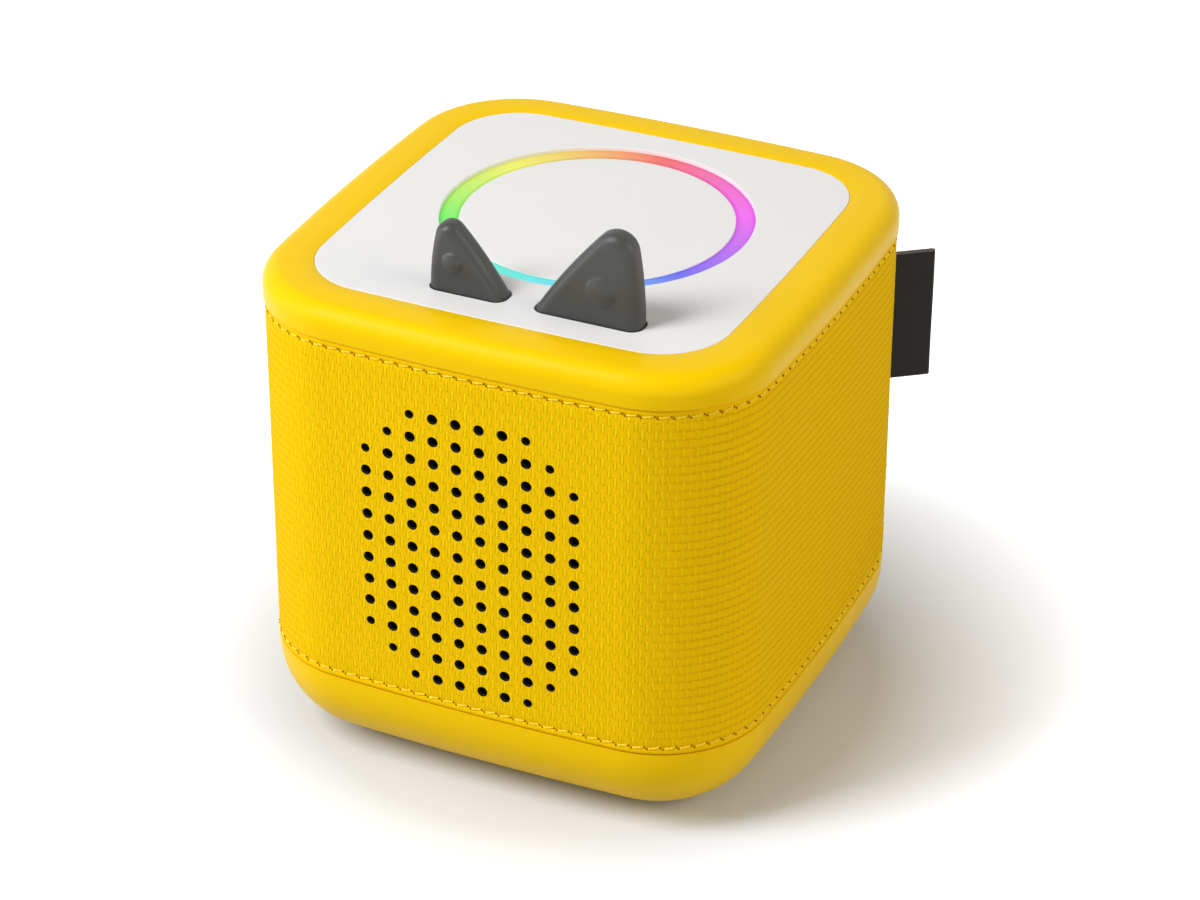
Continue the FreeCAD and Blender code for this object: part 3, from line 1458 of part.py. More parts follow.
def leads():
    """Pairs of round wires to the battery and the speaker, and the flat cable up to the ring board."""
    bend = s.lead_bend_radius
    connector = new_body("battery_connector")
    plug_left = bend - s.battery_lead_side
    lead_height = board_top + s.plug_height / 2
    Profile(connector, "z").rectangle(
        plug_left, plug_left + s.plug_length, -s.plug_width / 2, s.plug_width / 2).pad(
        board_top, board_top + s.plug_height)
    battery_leads = new_body("battery_leads")
    cell_height = tub_floor_top + s.cradle_floor + s.cell_radius + s.cradle_clearance
    cradle_end = -(s.cell_length / 2 + s.cell_button_height + s.cradle_clearance + s.cradle_wall)
    speaker_leads = new_body("speaker_leads")
    flange_back = flange_face + s.speaker_flange_thickness
    terminal = s.speaker_height - s.speaker_flange_width / 2 + s.speaker_terminal_inset
    for side in (-1, 1):
        beside = side * s.lead_spacing / 2
        route = Profile(battery_leads, "y").path(
            (cradle_end, cell_height), (bend - s.battery_lead_side, cell_height),
            (-s.battery_lead_side, cell_height + bend, -bend), (-s.battery_lead_side, lead_height - bend),
            (plug_left, lead_height, -bend), closed=False)
        route.place(beside)
        Profile(battery_leads, "x").circle(beside, cell_height, s.lead_radius).pipe(cradle_end, route)
        route = Profile(speaker_leads, "x").path(
            (flange_back, terminal), (s.speaker_lead_depth - bend, terminal),
            (s.speaker_lead_depth, terminal - bend, -bend), (s.speaker_lead_depth, board_top), closed=False)
        route.place(s.speaker_lead_side + beside)
        Profile(speaker_leads, "y").circle(s.speaker_lead_side + beside, terminal, s.lead_radius).pipe(
            flange_back, route)
    ribbon = new_body("ribbon_connector")
    half = s.flat_cable_width / 2 + s.lead_radius
    middle = s.flat_cable_depth + s.flat_cable_thickness / 2
    Profile(ribbon, "z").rectangle(
        -half, half, middle - s.ribbon_plug_depth / 2, middle + s.ribbon_plug_depth / 2).pad(
        board_top, board_top + s.ribbon_plug_height)
    cable = new_body("flat_cable")
    Profile(cable, "z").rectangle(
        -s.flat_cable_width / 2, s.flat_cable_width / 2, s.flat_cable_depth,
        s.flat_cable_depth + s.flat_cable_thickness).pad(board_top + s.ribbon_plug_height, chassis_top)


# ------------------------------------------------------------------ assembly

inner_housing()
top_chassis()
chassis_screws()
wraps()
top_rim()
top_plate()
light_ring()
figure_seat()
for ear in ears:
    ear_skin(ear)
    ear_core(ear)
    ear_button(ear)
screws("ear_screws", "z", ear_screw_places(), ear_foot_top,
       s.ear_foot_thickness + s.chassis_thickness, 1, small=True)
speaker_frame()
speaker_cone()
speaker_motor()
screws("speaker_screws", "y", speaker_screw_places, flange_face + s.speaker_flange_thickness,
       s.speaker_flange_thickness + s.surround_lip + s.gasket_thickness + s.housing_wall, 1, small=True)
main_board()
screws("board_screws", "z", standoff_places, board_top,
       s.board_thickness + s.standoff_height, 1, small=True)
jack_and_socket()
battery()
leads()

doc.recompute()

for item in doc.Objects:
    if "Invalid" in item.State or "Error" in item.State:
        raise RuntimeError("%s did not compute: %s" % (item.Label, item.State))
for item in kept:
    if item.Shape.isNull() or not item.Shape.isValid():
        raise RuntimeError("%s has no valid shape" % item.Label)

os.makedirs("parts", exist_ok=True)
for item in kept:
    item.Shape.exportStep("parts/%s.step" % item.Label)
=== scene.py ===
import json
import math

import bmesh
import bpy
from mathutils import Matrix, Vector, noise


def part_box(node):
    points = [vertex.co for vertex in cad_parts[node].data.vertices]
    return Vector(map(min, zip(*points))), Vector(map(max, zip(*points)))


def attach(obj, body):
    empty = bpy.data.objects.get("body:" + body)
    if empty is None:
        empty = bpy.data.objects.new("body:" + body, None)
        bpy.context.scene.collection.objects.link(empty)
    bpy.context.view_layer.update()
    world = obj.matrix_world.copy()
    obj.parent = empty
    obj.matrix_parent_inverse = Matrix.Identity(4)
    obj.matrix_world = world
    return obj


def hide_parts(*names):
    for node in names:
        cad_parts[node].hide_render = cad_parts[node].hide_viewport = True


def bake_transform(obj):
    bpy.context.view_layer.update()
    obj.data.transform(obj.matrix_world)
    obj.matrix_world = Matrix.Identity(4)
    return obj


bl_info = {
    "name": "Story Player Finish",
    "version": (1, 0, 0),
    "blender": (4, 5, 0),
    "location": "View3D > Sidebar > Story Player",
    "description": "Dresses a cube-shaped audio player: cloth cover, smooth shells, light ring, ears and tag",
    "category": "Object",
}

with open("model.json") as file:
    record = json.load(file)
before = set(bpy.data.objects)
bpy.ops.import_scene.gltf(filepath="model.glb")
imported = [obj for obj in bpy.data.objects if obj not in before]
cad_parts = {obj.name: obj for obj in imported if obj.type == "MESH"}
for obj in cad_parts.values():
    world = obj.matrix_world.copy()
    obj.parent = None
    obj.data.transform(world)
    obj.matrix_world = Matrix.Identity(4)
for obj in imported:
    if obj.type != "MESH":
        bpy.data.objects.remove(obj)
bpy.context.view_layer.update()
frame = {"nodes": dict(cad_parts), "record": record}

MM = 0.001
QUARTER = math.pi / 2
TURN = 2 * math.pi

# ------------------------------------------------------------ places taken from the frame

CLOTH_BOTTOM, CLOTH_TOP = (corner.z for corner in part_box("fabric_wrap"))
RIM_LOW, RIM_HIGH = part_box("top_rim")
RING_LOW, RING_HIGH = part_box("light_guide_ring")
SEAT_LOW, SEAT_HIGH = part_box("seat_disc")
TAG_BOTTOM, TAG_TOP = (corner.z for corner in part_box("side_tag"))
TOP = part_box("top_plate")[1].z
RING_CENTRE = Vector((0.0, (RING_LOW.y + RING_HIGH.y) / 2, RING_HIGH.z))

# ------------------------------------------------------------ shape of the body

BODY_HALF, BODY_SIDE_RADIUS, BODY_CORNER_RADIUS = 60.0 * MM, 730.0 * MM, 25.8 * MM
PLATE_HALF, PLATE_SIDE_RADIUS, PLATE_CORNER_RADIUS = 48.9 * MM, 1190.0 * MM, 16.1 * MM
PLATE_THICKNESS = 2.5 * MM
RING_OUTER, RING_INNER = 35.1 * MM, 31.0 * MM
RING_MIDDLE = (RING_OUTER + RING_INNER) / 2
DOME_RISE = 0.9 * MM
SEAM_TURN = math.radians(37.0)  # where the upright seam with the tag faces, from +X

# rear panel: where the cloth ends on the sides, the panel's top, and the arcs at its foot and corners
REAR_EDGE, REAR_TOP = 46.0 * MM, 58.0 * MM
REAR_SWEEP, REAR_CORNER = 12.5 * MM, 15.0 * MM
REAR_SWEEP_DEPTH, REAR_SWEEP_HEIGHT = REAR_EDGE - REAR_SWEEP, CLOTH_BOTTOM + REAR_SWEEP
REAR_CORNER_HEIGHT = REAR_TOP - REAR_CORNER

# ------------------------------------------------------------ shape of the weave

# shares of half a column, from its middle
RIDGE_WIDTH = 0.44
FURROW_MIDDLE, FURROW_WIDTH = RIDGE_WIDTH + 0.12, 0.22
# shares of half an upright yarn's length, from its middle: where it starts to sink, and where it is under
YARN_FULL, YARN_END = 0.4, 0.64
# shares of the relief: how high the level yarns lie, and how deep the groove is between stretched rows
LEVEL_YARN, ROW_GROOVE = 0.5, 0.4
ROW_SHARPNESS = 3.5  # the power that narrows this groove
# how far the pattern strays from its places, noise per metre for that and for fluff, strands in a column
STRAY, STRAY_SCALE, FLUFF_SCALE, STRANDS = 0.6 * MM, 520.0, 4200.0, 5
# how squarely the cloth faces aside where the stretch starts and where it is full
SIDE_START, SIDE_FULL = 0.3, 0.75
# what a full stretch takes off the upright yarns, in the mesh and in the finish, where it also dims their
# painted highlight and the painted shade beside them
RIDGE_FLATTENED, RIDGE_FADED = 0.65, 0.75
# the row lines are painted shade in the grooves between rows
ROWS_CLOSED = 0.15  # how much of the row lines shows without any stretch


# ------------------------------------------------------------ settings

def colour_setting(name, description, default):
    """A colour that a user can change."""
    return bpy.props.FloatVectorProperty(
        name=name, description=description, subtype="COLOR", size=3, min=0, max=1, default=default)


def length_setting(name, description, millimetres):
    """A length that a user can change."""
    return bpy.props.FloatProperty(
        name=name, description=description, unit="LENGTH", default=millimetres * MM)


class PlayerColours(bpy.types.PropertyGroup):
    """Colours of the visible finishes"""
    shell: colour_setting("Shell", "Smooth yellow plastic of the rim and base", (0.98, 0.63, 0.0))
    cloth: colour_setting("Cloth", "Level yarn of the cloth cover", (0.98, 0.61, 0.0))
    # painted highlight: the upright yarns are painted lighter than the level ones
    cloth_ridge_highlight: colour_setting("Cloth ridge", "Upright yarn that stands out of the cover", (1.0, 0.74, 0.0))
    # painted shade in the furrows and row lines of the cloth, and the random tint of its yarns
    cloth_shade_and_tint: colour_setting("Cloth depth", "Cloth between the yarns", (0.66, 0.30, 0.0))
    thread: colour_setting("Thread", "Sewing thread", (1.0, 0.80, 0.08))
    plate: colour_setting("Plate", "White plastic of the plate and seat", (0.875, 0.875, 0.88))
    ears: colour_setting("Ears", "Soft grey rubber of the ears", (0.049, 0.051, 0.049))
    tag: colour_setting("Tag", "Yarn of the side tag", (0.011, 0.0095, 0.009))


class PlayerSizes(bpy.types.PropertyGroup):
    """Sizes of the finish that the frame does not give"""
    columns: bpy.props.IntProperty(
        name="Yarn columns", description="Woven columns around the body, an even number", min=20, default=298)
    row_pitch: length_setting("Row pitch", "Height of one woven row", 2.07)
    relief: length_setting("Relief", "How far the yarns stand out of the cloth", 0.14)
    hem: length_setting("Hem", "From the cloth's top edge to its stitches", 1.35)
    lower_hem: length_setting("Lower hem", "From the cloth's lower edge to its stitches", 1.7)
    stitch_pitch: length_setting("Stitch pitch", "From one stitch to the next", 3.5)
    stitch_length: length_setting("Stitch length", "Visible length of a stitch", 2.6)
    thread_radius: length_setting("Thread radius", "Half the thickness of the thread", 0.2)
    hole_pitch: length_setting("Hole pitch", "From one perforation to the next", 5.5)
    hole_radius: length_setting("Hole radius", "Radius of a perforation", 1.25)
    hole_columns: bpy.props.IntProperty(
        name="Hole columns", description="Perforations across the widest row", default=10)
    hole_rows: bpy.props.IntProperty(
        name="Hole rows", description="Perforations up the tallest column", default=13)
    hole_height: length_setting("Hole height", "Height of the middle of the perforations", 62.6)
    edge_rounding: length_setting("Edge rounding", "Radius on the edges of the top plate", 0.15)
    ear_fillet: length_setting("Ear fillet", "Radius on the edges of the ears", 2.5)


# ------------------------------------------------------------ node building

def feed(tree, socket, value):
    """Give a socket a plain value, another socket's output or a node's first output."""
    if isinstance(value, bpy.types.Node):
        value = value.outputs[0]
    if isinstance(value, bpy.types.NodeSocket):
        tree.links.new(value, socket)
    else:
        socket.default_value = value


def add_node(tree, kind, inputs=(), **settings):
    """A node with its settings made and its inputs fed by name or number."""
    made = tree.nodes.new(kind)
    for name, value in settings.items():
        setattr(made, name, value)
    for name, value in dict(inputs).items():
        feed(tree, made.inputs[name], value)
    return made


def compute(tree, operation, *values, clamp=False):
    """The output of a maths node."""
    made = add_node(tree, "ShaderNodeMath", enumerate(values), operation=operation, use_clamp=clamp)
    return made.outputs[0]


def product(tree, first, second):
    """The output of a maths node that multiplies."""
    return compute(tree, "MULTIPLY", first, second)


def along(tree, operation, *values):
    """The output of a vector maths node."""
    made = add_node(tree, "ShaderNodeVectorMath", enumerate(values), operation=operation)
    return made.outputs["Value" if operation == "LENGTH" else "Vector"]


def blend_colours(tree, share, first, second):
    """The first colour, which turns into the second as the share goes from 0 to 1."""
    # the colour sockets share their names with the sockets of other types, so they go by number
    made = add_node(tree, "ShaderNodeMix", {
        "Factor": share, 6: rgba(first), 7: rgba(second)}, data_type="RGBA")
    return made.outputs[2]


def rgba(colour):
    """A plain colour with its fourth value; a socket stays as it is."""
    return colour if isinstance(colour, bpy.types.NodeSocket) else (*colour[:3], 1.0)


def fit(tree, value, low, high, start=0.0, end=1.0):
    """A value stretched from one range to another and held inside it."""
    made = add_node(tree, "ShaderNodeMapRange", {
        "Value": value, "From Min": low, "From Max": high, "To Min": start, "To Max": end})
    return made.outputs["Result"]


def coordinates(tree, kind="Object"):
    """The place on the object or, with "UV", on the cloth laid flat."""
    return tree.nodes.new("ShaderNodeTexCoord").outputs[kind]


def parts_of(tree, vector):
    """X, Y and Z of a vector, by name."""
    return add_node(tree, "ShaderNodeSeparateXYZ", {0: vector}).outputs


def noise_at(tree, where, scale, detail=2.0):
    """The outputs of a noise texture: its level first, and its colour."""
    return add_node(tree, "ShaderNodeTexNoise", {"Vector": where, "Scale": scale, "Detail": detail}).outputs


def from_centre(tree, value):
    """How far a value lies from the middle between two whole numbers, from 0 to 1."""
    off = compute(tree, "MULTIPLY_ADD", compute(tree, "FRACT", value), 2.0, -1.0)
    return compute(tree, "ABSOLUTE", off)


SOCKET_TYPES = {float: "Float", int: "Int", tuple: "Vector"}


def new_group(name, inputs, outputs, kind="ShaderNodeTree"):
    """A node group. An input is given by its default or, like an output, by the type of its socket."""
    group = bpy.data.node_groups.new(name, kind)
    for direction, sockets in (("INPUT", inputs), ("OUTPUT", outputs)):
        for label, given in sockets.items():
            plain = not isinstance(given, str)
            socket = group.interface.new_socket(
                name=label, in_out=direction,
                socket_type="NodeSocket" + (SOCKET_TYPES[type(given)] if plain else given))
            if plain:
                socket.default_value = given
    return group, group.nodes.new("NodeGroupInput").outputs, group.nodes.new("NodeGroupOutput").inputs


def socket_name(name):
    """The label of the socket that a keyword stands for."""
    return name.replace("_", " ").capitalize()


def place_group(tree, group, **inputs):
    """The outputs of a node group that is placed in a tree with its own values."""
    made = tree.nodes.new("ShaderNodeGroup")
    made.node_tree = group
    for name, value in inputs.items():
        feed(tree, made.inputs[socket_name(name)], value)
    return made.outputs


GROUPS = {}


def shared(builder):
    """A node group that is built once."""
    if builder.__name__ not in GROUPS:
        GROUPS[builder.__name__] = builder()
    return GROUPS[builder.__name__]


# ------------------------------------------------------------ shared surface effects

def moulded_grain():
    """Fine grain of moulded plastic and rubber, with broad uneven patches."""
    group, given, out = new_group(
        "moulded_grain", {"Size": 0.3 * MM, "Patch size": 25 * MM}, {"Height": "Float", "Patches": "Float"})
    where = coordinates(group)
    fine = noise_at(group, where, compute(group, "DIVIDE", 1.0, given["Size"]))
    broad = noise_at(group, where, compute(group, "DIVIDE", 1.0, given["Patch size"]), 3.0)
    feed(group, out["Height"], fine[0])
    feed(group, out["Patches"], fit(group, broad[0], 0.3, 0.7))
    return group


def woven_yarns():
    """Plain weave: round upright yarns stand out of broad level ones, a column and a row apart."""
    group, given, out = new_group(
        "woven_yarns", {"Column pitch": 1.44 * MM, "Row pitch": 2.07 * MM},
        dict.fromkeys(("Ridge", "Furrow", "Row line", "Fibres", "Tint"), "Float"))
    where = coordinates(group, "UV")
    uneven = along(group, "SUBTRACT", noise_at(group, where, STRAY_SCALE)["Color"], (0.5, 0.5, 0.5))
    stray = add_node(group, "ShaderNodeVectorMath", {0: uneven, "Scale": STRAY}, operation="SCALE")
    place = parts_of(group, along(group, "ADD", where, stray))
    column = compute(group, "DIVIDE", place["X"], given["Column pitch"])
    row = compute(group, "DIVIDE", place["Y"], given["Row pitch"])
    column_number = compute(group, "FLOOR", column)
    half_count = compute(group, "MULTIPLY_ADD", compute(group, "ADD", row, column_number), 0.5, 0.75)
    ends = fit(group, from_centre(group, half_count), YARN_END, YARN_FULL)
    aside = compute(group, "MULTIPLY_ADD", compute(group, "FRACT", column), 2.0, -1.0)
    round_part = compute(group, "POWER", compute(group, "DIVIDE", aside, RIDGE_WIDTH), 2.0)
    ridge = compute(group, "SQRT", compute(group, "SUBTRACT", 1.0, round_part, clamp=True))
    ridge = product(group, ridge, ends)
    beside = compute(group, "DIVIDE", compute(group, "ADD", aside, FURROW_MIDDLE), FURROW_WIDTH)
    furrow = compute(group, "SUBTRACT", 1.0, product(group, beside, beside), clamp=True)
    row_line = compute(group, "POWER", from_centre(group, row), ROW_SHARPNESS)
    strands = compute(group, "SINE", product(group, column, TURN * STRANDS))
    fibres = compute(group, "MULTIPLY_ADD", strands, 0.1, noise_at(group, where, FLUFF_SCALE)[0])
    cell = add_node(group, "ShaderNodeCombineXYZ", {
        "X": column_number, "Y": compute(group, "FLOOR", compute(group, "ADD", half_count, 0.25))})
    chance = add_node(group, "ShaderNodeTexWhiteNoise", {"Vector": cell})
    feed(group, out["Ridge"], ridge)
    feed(group, out["Furrow"], product(group, furrow, ends))
    feed(group, out["Row line"], product(group, row_line, compute(group, "SUBTRACT", 1.0, ridge)))
    feed(group, out["Fibres"], fibres)
    feed(group, out["Tint"], chance.outputs["Value"])
    return group


def yarn_height(column, row, sideways):
    """The same weave for the mesh: the height at a place counted in columns and rows."""
    across, up = abs(2 * (column % 1) - 1), abs(2 * (row % 1) - 1)
    from_middle = abs(2 * (((row + math.floor(column)) / 2 + 0.75) % 1) - 1)
    ends = min(1.0, max(0.0, (YARN_END - from_middle) / (YARN_END - YARN_FULL)))
    ridge = ends * math.sqrt(max(0.0, 1 - (across / RIDGE_WIDTH) ** 2))
    groove = ROW_GROOVE * up ** ROW_SHARPNESS * sideways * (1 - ridge)
    return LEVEL_YARN + (1 - LEVEL_YARN) * ridge * (1 - RIDGE_FLATTENED * sideways) - groove


# ------------------------------------------------------------ materials

MATERIALS = {}
WHITE = (1.0, 1.0, 1.0, 1.0)


def new_material(name):
    """A material, its tree and the shader that the tree ends in."""
    made = bpy.data.materials.new(name)
    made.use_nodes = True
    return made, made.node_tree, made.node_tree.nodes["Principled BSDF"]


def dress(tree, shader, looks, height=None, depth=0.0, strength=1.0):
    """Feed the shader's inputs by name, and raise its surface where a height is given."""
    for name, value in looks.items():
        feed(tree, shader.inputs[name], value)
    if height is not None:
        feed(tree, shader.inputs["Normal"], add_node(tree, "ShaderNodeBump", {
            "Height": height, "Distance": depth, "Strength": strength}))


def toned(colour, share):
    """A colour made darker or lighter by a share."""
    return [part * share for part in colour]


def moulded(name, colour, roughness, grain=0.3 * MM, depth=0.012 * MM, spread=0.08, shift=0.03, metal=0.0,
            specular=0.5, specular_tint=WHITE):
    """Moulded or rolled stock: a fine grain, and patches that differ a little in gloss and colour."""
    made, tree, shader = new_material(name)
    grains = place_group(tree, shared(moulded_grain), size=grain)
    patches = grains["Patches"]
    dress(tree, shader, {
        "Base Color": blend_colours(tree, patches, toned(colour, 1 - shift), colour),
        "Roughness": fit(tree, patches, 0.0, 1.0, roughness - spread / 2, roughness + spread / 2),
        "Metallic": metal, "Specular IOR Level": specular, "Specular Tint": specular_tint,
    }, grains["Height"], depth)
    return made


def cloth_material(sizes, colours):
    """Thick yellow weave, with painted shade between the yarns and a painted highlight on the upright yarns.
    Stretched round the corners, its rows open and its upright yarns flatten on the two sides."""
    made, tree, shader = new_material("cover_cloth")
    yarns = place_group(tree, shared(woven_yarns), column_pitch=BODY_OUTLINE.length / sizes.columns,
                        row_pitch=sizes.row_pitch)
    woven, sideways = (add_node(tree, "ShaderNodeAttribute", attribute_name=name).outputs["Fac"]
                       for name in ("woven", "sideways"))
    standing = product(tree, compute(tree, "MULTIPLY_ADD", sideways, -RIDGE_FADED, 1.0), woven)
    opening = product(tree, compute(tree, "MULTIPLY_ADD", sideways, 1 - ROWS_CLOSED, ROWS_CLOSED), woven)
    ridge = product(tree, yarns["Ridge"], standing)
    furrow = product(tree, yarns["Furrow"], standing)
    row_line = product(tree, yarns["Row line"], opening)
    furrow_shade, row_shade, yarn_tint = 0.5, 0.6, 0.06
    # painted shade: the furrows beside the upright yarns and the row lines take the deeper colour
    deep = compute(tree, "MAXIMUM", product(tree, furrow, furrow_shade), product(tree, row_line, row_shade))
    # painted highlight on the upright yarns
    tone = blend_colours(tree, ridge, colours.cloth, colours.cloth_ridge_highlight)
    tone = blend_colours(tree, deep, tone, colours.cloth_shade_and_tint)
    tone = blend_colours(tree, product(tree, yarns["Tint"], yarn_tint), tone, colours.cloth_shade_and_tint)
    fibre_height, ridge_height, furrow_height, row_height = 0.18, 0.5, -0.25, -0.5
    height = product(tree, ridge, ridge_height)
    height = compute(tree, "MULTIPLY_ADD", yarns["Fibres"], fibre_height, height)
    height = compute(tree, "MULTIPLY_ADD", furrow, furrow_height, height)
    height = compute(tree, "MULTIPLY_ADD", row_line, row_height, height)
    dress(tree, shader, {
        "Base Color": tone, "Roughness": 0.75, "Specular IOR Level": 0.06,
        "Sheen Weight": 0.12, "Sheen Roughness": 0.45, "Sheen Tint": (1.0, 0.7, 0.05, 1.0),
    }, height, 0.28 * MM, 0.9)
    return made


def thread_material(colour):
    """Twisted sewing thread, with painted shade in the grooves of its twist."""
    made, tree, shader = new_material("yellow_thread")
    twist = 0.35 * MM
    waves = add_node(tree, "ShaderNodeTexWave", {
        "Vector": coordinates(tree), "Scale": 1.0 / twist / 6, "Distortion": 2.0, "Detail": 1.0,
    }, bands_direction="DIAGONAL").outputs["Fac"]
    # painted shade in the grooves of the twist
    shade = (colour[0] * 0.95, colour[1] * 0.75, 0.0)
    dress(tree, shader, {
        "Base Color": blend_colours(tree, waves, shade, colour),
        "Roughness": 0.5, "Specular IOR Level": 0.25,
    }, waves, 0.04 * MM)
    return made


def tag_material(colours):
    """Tightly woven label, with painted shade in its low weave and a painted highlight on its raised threads;
    its cut ends are a little frayed and pale.
    """
    made, tree, shader = new_material("tag_weave")
    place = parts_of(tree, coordinates(tree, "UV"))
    ribs, warps = (compute(tree, "SINE", product(tree, place[axis], TURN / pitch))
                   for axis, pitch in (("Y", 0.5 * MM), ("X", 0.36 * MM)))
    weave = product(tree, ribs, warps)
    height = compute(tree, "MULTIPLY_ADD", weave, 0.3, compute(tree, "MULTIPLY_ADD", ribs, 0.2, 0.5))
    # painted shade in the low weave and painted highlight on the raised threads
    tone = blend_colours(tree, height, toned(colours.tag, 0.4), toned(colours.tag, 1.5))
    half = (TAG_TOP - TAG_BOTTOM) / 2
    fray = fit(tree, compute(tree, "ABSOLUTE", place["Y"]), half - 0.35 * MM, half)
    tone = blend_colours(tree, product(tree, fray, 0.6), tone, (0.3, 0.29, 0.28))
    dress(tree, shader, {
        "Base Color": tone, "Roughness": 0.65, "Specular IOR Level": 0.2, "Sheen Weight": 0.06,
    }, height, 0.06 * MM)
    return made


def light_material():
    """Milky guide lit from below, its hue turning once around the ring; the glow's hue is also painted into
    its base colour.
    """
    made, tree, shader = new_material("lit_guide")
    place = parts_of(tree, along(tree, "SUBTRACT", coordinates(tree), tuple(RING_CENTRE)))
    turn = compute(tree, "ARCTAN2", place["Y"], place["X"])
    red_at = 88 / 360
    hue = compute(tree, "FRACT", compute(tree, "MULTIPLY_ADD", turn, 1 / TURN, 1 - red_at))
    flat_place = add_node(tree, "ShaderNodeCombineXYZ", {"X": place["X"], "Y": place["Y"]})
    radius = along(tree, "LENGTH", flat_place)
    off_middle = compute(tree, "ABSOLUTE", compute(tree, "SUBTRACT", radius, RING_MIDDLE))
    edge = (RING_OUTER - RING_INNER) / 2
    colour = add_node(tree, "ShaderNodeCombineColor", {
        "Red": hue, "Green": fit(tree, off_middle, 0.9 * MM, edge, 0.83, 0.9),
        "Blue": fit(tree, off_middle, 1.2 * MM, edge, 0.93, 0.82)}, mode="HSV").outputs[0]
    grains = place_group(tree, shared(moulded_grain), size=0.4 * MM)
    dress(tree, shader, {
        "Emission Color": colour, "Emission Strength": 0.64,
        # painted light: the base colour carries a share of the glow's hue
        "Base Color": blend_colours(tree, 0.72, colour, (0.0, 0.0, 0.0)),
        "Specular IOR Level": 0.3, "Roughness": 0.45,
    }, grains["Height"], 0.01 * MM)
    return made


def circuit_material():
    """Green board with darker traces."""
    made, tree, shader = new_material("circuit_board")
    cells = add_node(tree, "ShaderNodeTexVoronoi", {"Vector": coordinates(tree), "Scale": 260.0},
                     feature="DISTANCE_TO_EDGE", distance="MANHATTAN")
    traces = fit(tree, cells.outputs["Distance"], 0.02, 0.06)
    tone = blend_colours(tree, traces, (0.05, 0.30, 0.12), (0.012, 0.13, 0.05))
    dress(tree, shader, {"Base Color": tone, "Roughness": 0.35}, traces, 0.02 * MM, 0.5)
    return made


def foam_material(name, colour, cell):
    """Open foam or felt, painted darker in its pores as shade."""
    made, tree, shader = new_material(name)
    depth = add_node(tree, "ShaderNodeTexVoronoi", {
        "Vector": coordinates(tree), "Scale": 1 / cell}).outputs["Distance"]
    # painted shade in the pores
    tone = blend_colours(tree, depth, toned(colour, 0.5), colour)
    dress(tree, shader, {"Base Color": tone, "Roughness": 0.95}, depth, cell / 4)
    return made


def mesh_material():
    """Fine black mesh in front of the speaker."""
    made, tree, shader = new_material("speaker_gauze")
    place = parts_of(tree, coordinates(tree))
    waves = math.pi / (0.5 * MM)
    across, up = (compute(tree, "ABSOLUTE", compute(tree, "SINE", product(tree, place[axis], waves)))
                  for axis in ("X", "Z"))
    height = product(tree, across, up)
    tone = blend_colours(tree, height, (0.012, 0.012, 0.012), (0.001, 0.001, 0.001))
    dress(tree, shader, {
        "Base Color": tone, "Roughness": 0.8, "Specular IOR Level": 0.1}, height, 0.05 * MM)
    return made


def needle_material():
    """Shaded cloth at the bottom of a needle hole."""
    made, tree, shader = new_material("needle_shade")
    fibre = noise_at(tree, coordinates(tree), 6000.0)[0]
    tone = blend_colours(tree, fibre, (0.30, 0.10, 0.0), (0.45, 0.17, 0.0))
    dress(tree, shader, {"Base Color": tone, "Roughness": 0.9, "Specular IOR Level": 0.1})
    return made


# name, colour, roughness, metal: plain stock of the inner parts
STOCK = {
    "black_plastic": ((0.028, 0.028, 0.028), 0.45, 0.0),
    "steel": ((0.58, 0.57, 0.55), 0.3, 1.0),
    "ferrite": ((0.07, 0.07, 0.072), 0.5, 0.2),
    "chrome_magnet": ((0.7, 0.7, 0.7), 0.15, 1.0),
    "copper": ((0.72, 0.33, 0.17), 0.3, 1.0),
    "led_white": ((0.85, 0.85, 0.7), 0.2, 0.0),
    "cell_wrap": ((0.02, 0.10, 0.42), 0.25, 0.0),
    "lead_sheath": ((0.42, 0.02, 0.02), 0.4, 0.0),
    "grey_rubber": ((0.11, 0.11, 0.11), 0.75, 0.0),
}


def make_materials(sizes, colours):
    """Every finish, kept by the name of its slot or use."""
    MATERIALS.update({
        "yellow_shell": moulded(
            "satin_shell", colours.shell, 0.38, grain=0.22 * MM, depth=0.006 * MM, spread=0.06, shift=0.02,
            specular=0.1, specular_tint=(1.0, 0.94, 0.75, 1.0)),
        "yellow_fabric": cloth_material(sizes, colours),
        "thread": thread_material(colours.thread),
        "needle": needle_material(),
        # painted shade: the cut walls of the perforations are near black
        "punched": foam_material("punched_hole_shade", (0.01, 0.007, 0.0), 0.4 * MM),
        "white_plastic": moulded(
            "plate_white", colours.plate, 0.42, grain=0.25 * MM, depth=0.006 * MM, spread=0.05, shift=0.01,
            specular=0.2),
        # painted shade: grey for the wall of the recess around the light ring
        "recess_wall_shade": moulded("recess_wall_shade", (0.42, 0.39, 0.37), 0.6, specular=0.2),
        "ear_rubber": moulded(
            "ear_rubber", colours.ears, 0.4, grain=0.16 * MM, spread=0.1, shift=0.08, specular=0.42),
        "tag_fabric": tag_material(colours),
        "light_guide": light_material(),
        "circuit_board": circuit_material(),
        "foam": foam_material("open_foam", (0.05, 0.05, 0.05), 0.9 * MM),
        "black_mesh": mesh_material(),
        "cone_paper": foam_material("cone_pulp", (0.06, 0.06, 0.06), 0.7 * MM),
    })
    for name, (colour, roughness, metal) in STOCK.items():
        MATERIALS[name] = moulded(name, colour, roughness, metal=metal)


# ------------------------------------------------------------ meshes

def new_piece(name, mesh):
    """An object for a mesh, linked to the scene."""
    piece = bpy.data.objects.new(name, mesh)
    bpy.context.scene.collection.objects.link(piece)
    return piece


def mesh_from(name, points, faces):
    """A mesh with its faces turned outwards."""
    mesh = bpy.data.meshes.new(name)
    mesh.from_pydata(points, [], faces)
    bm = bmesh.new()
    bm.from_mesh(mesh)
    bmesh.ops.recalc_face_normals(bm, faces=bm.faces)
    bm.to_mesh(mesh)
    bm.free()
    return mesh


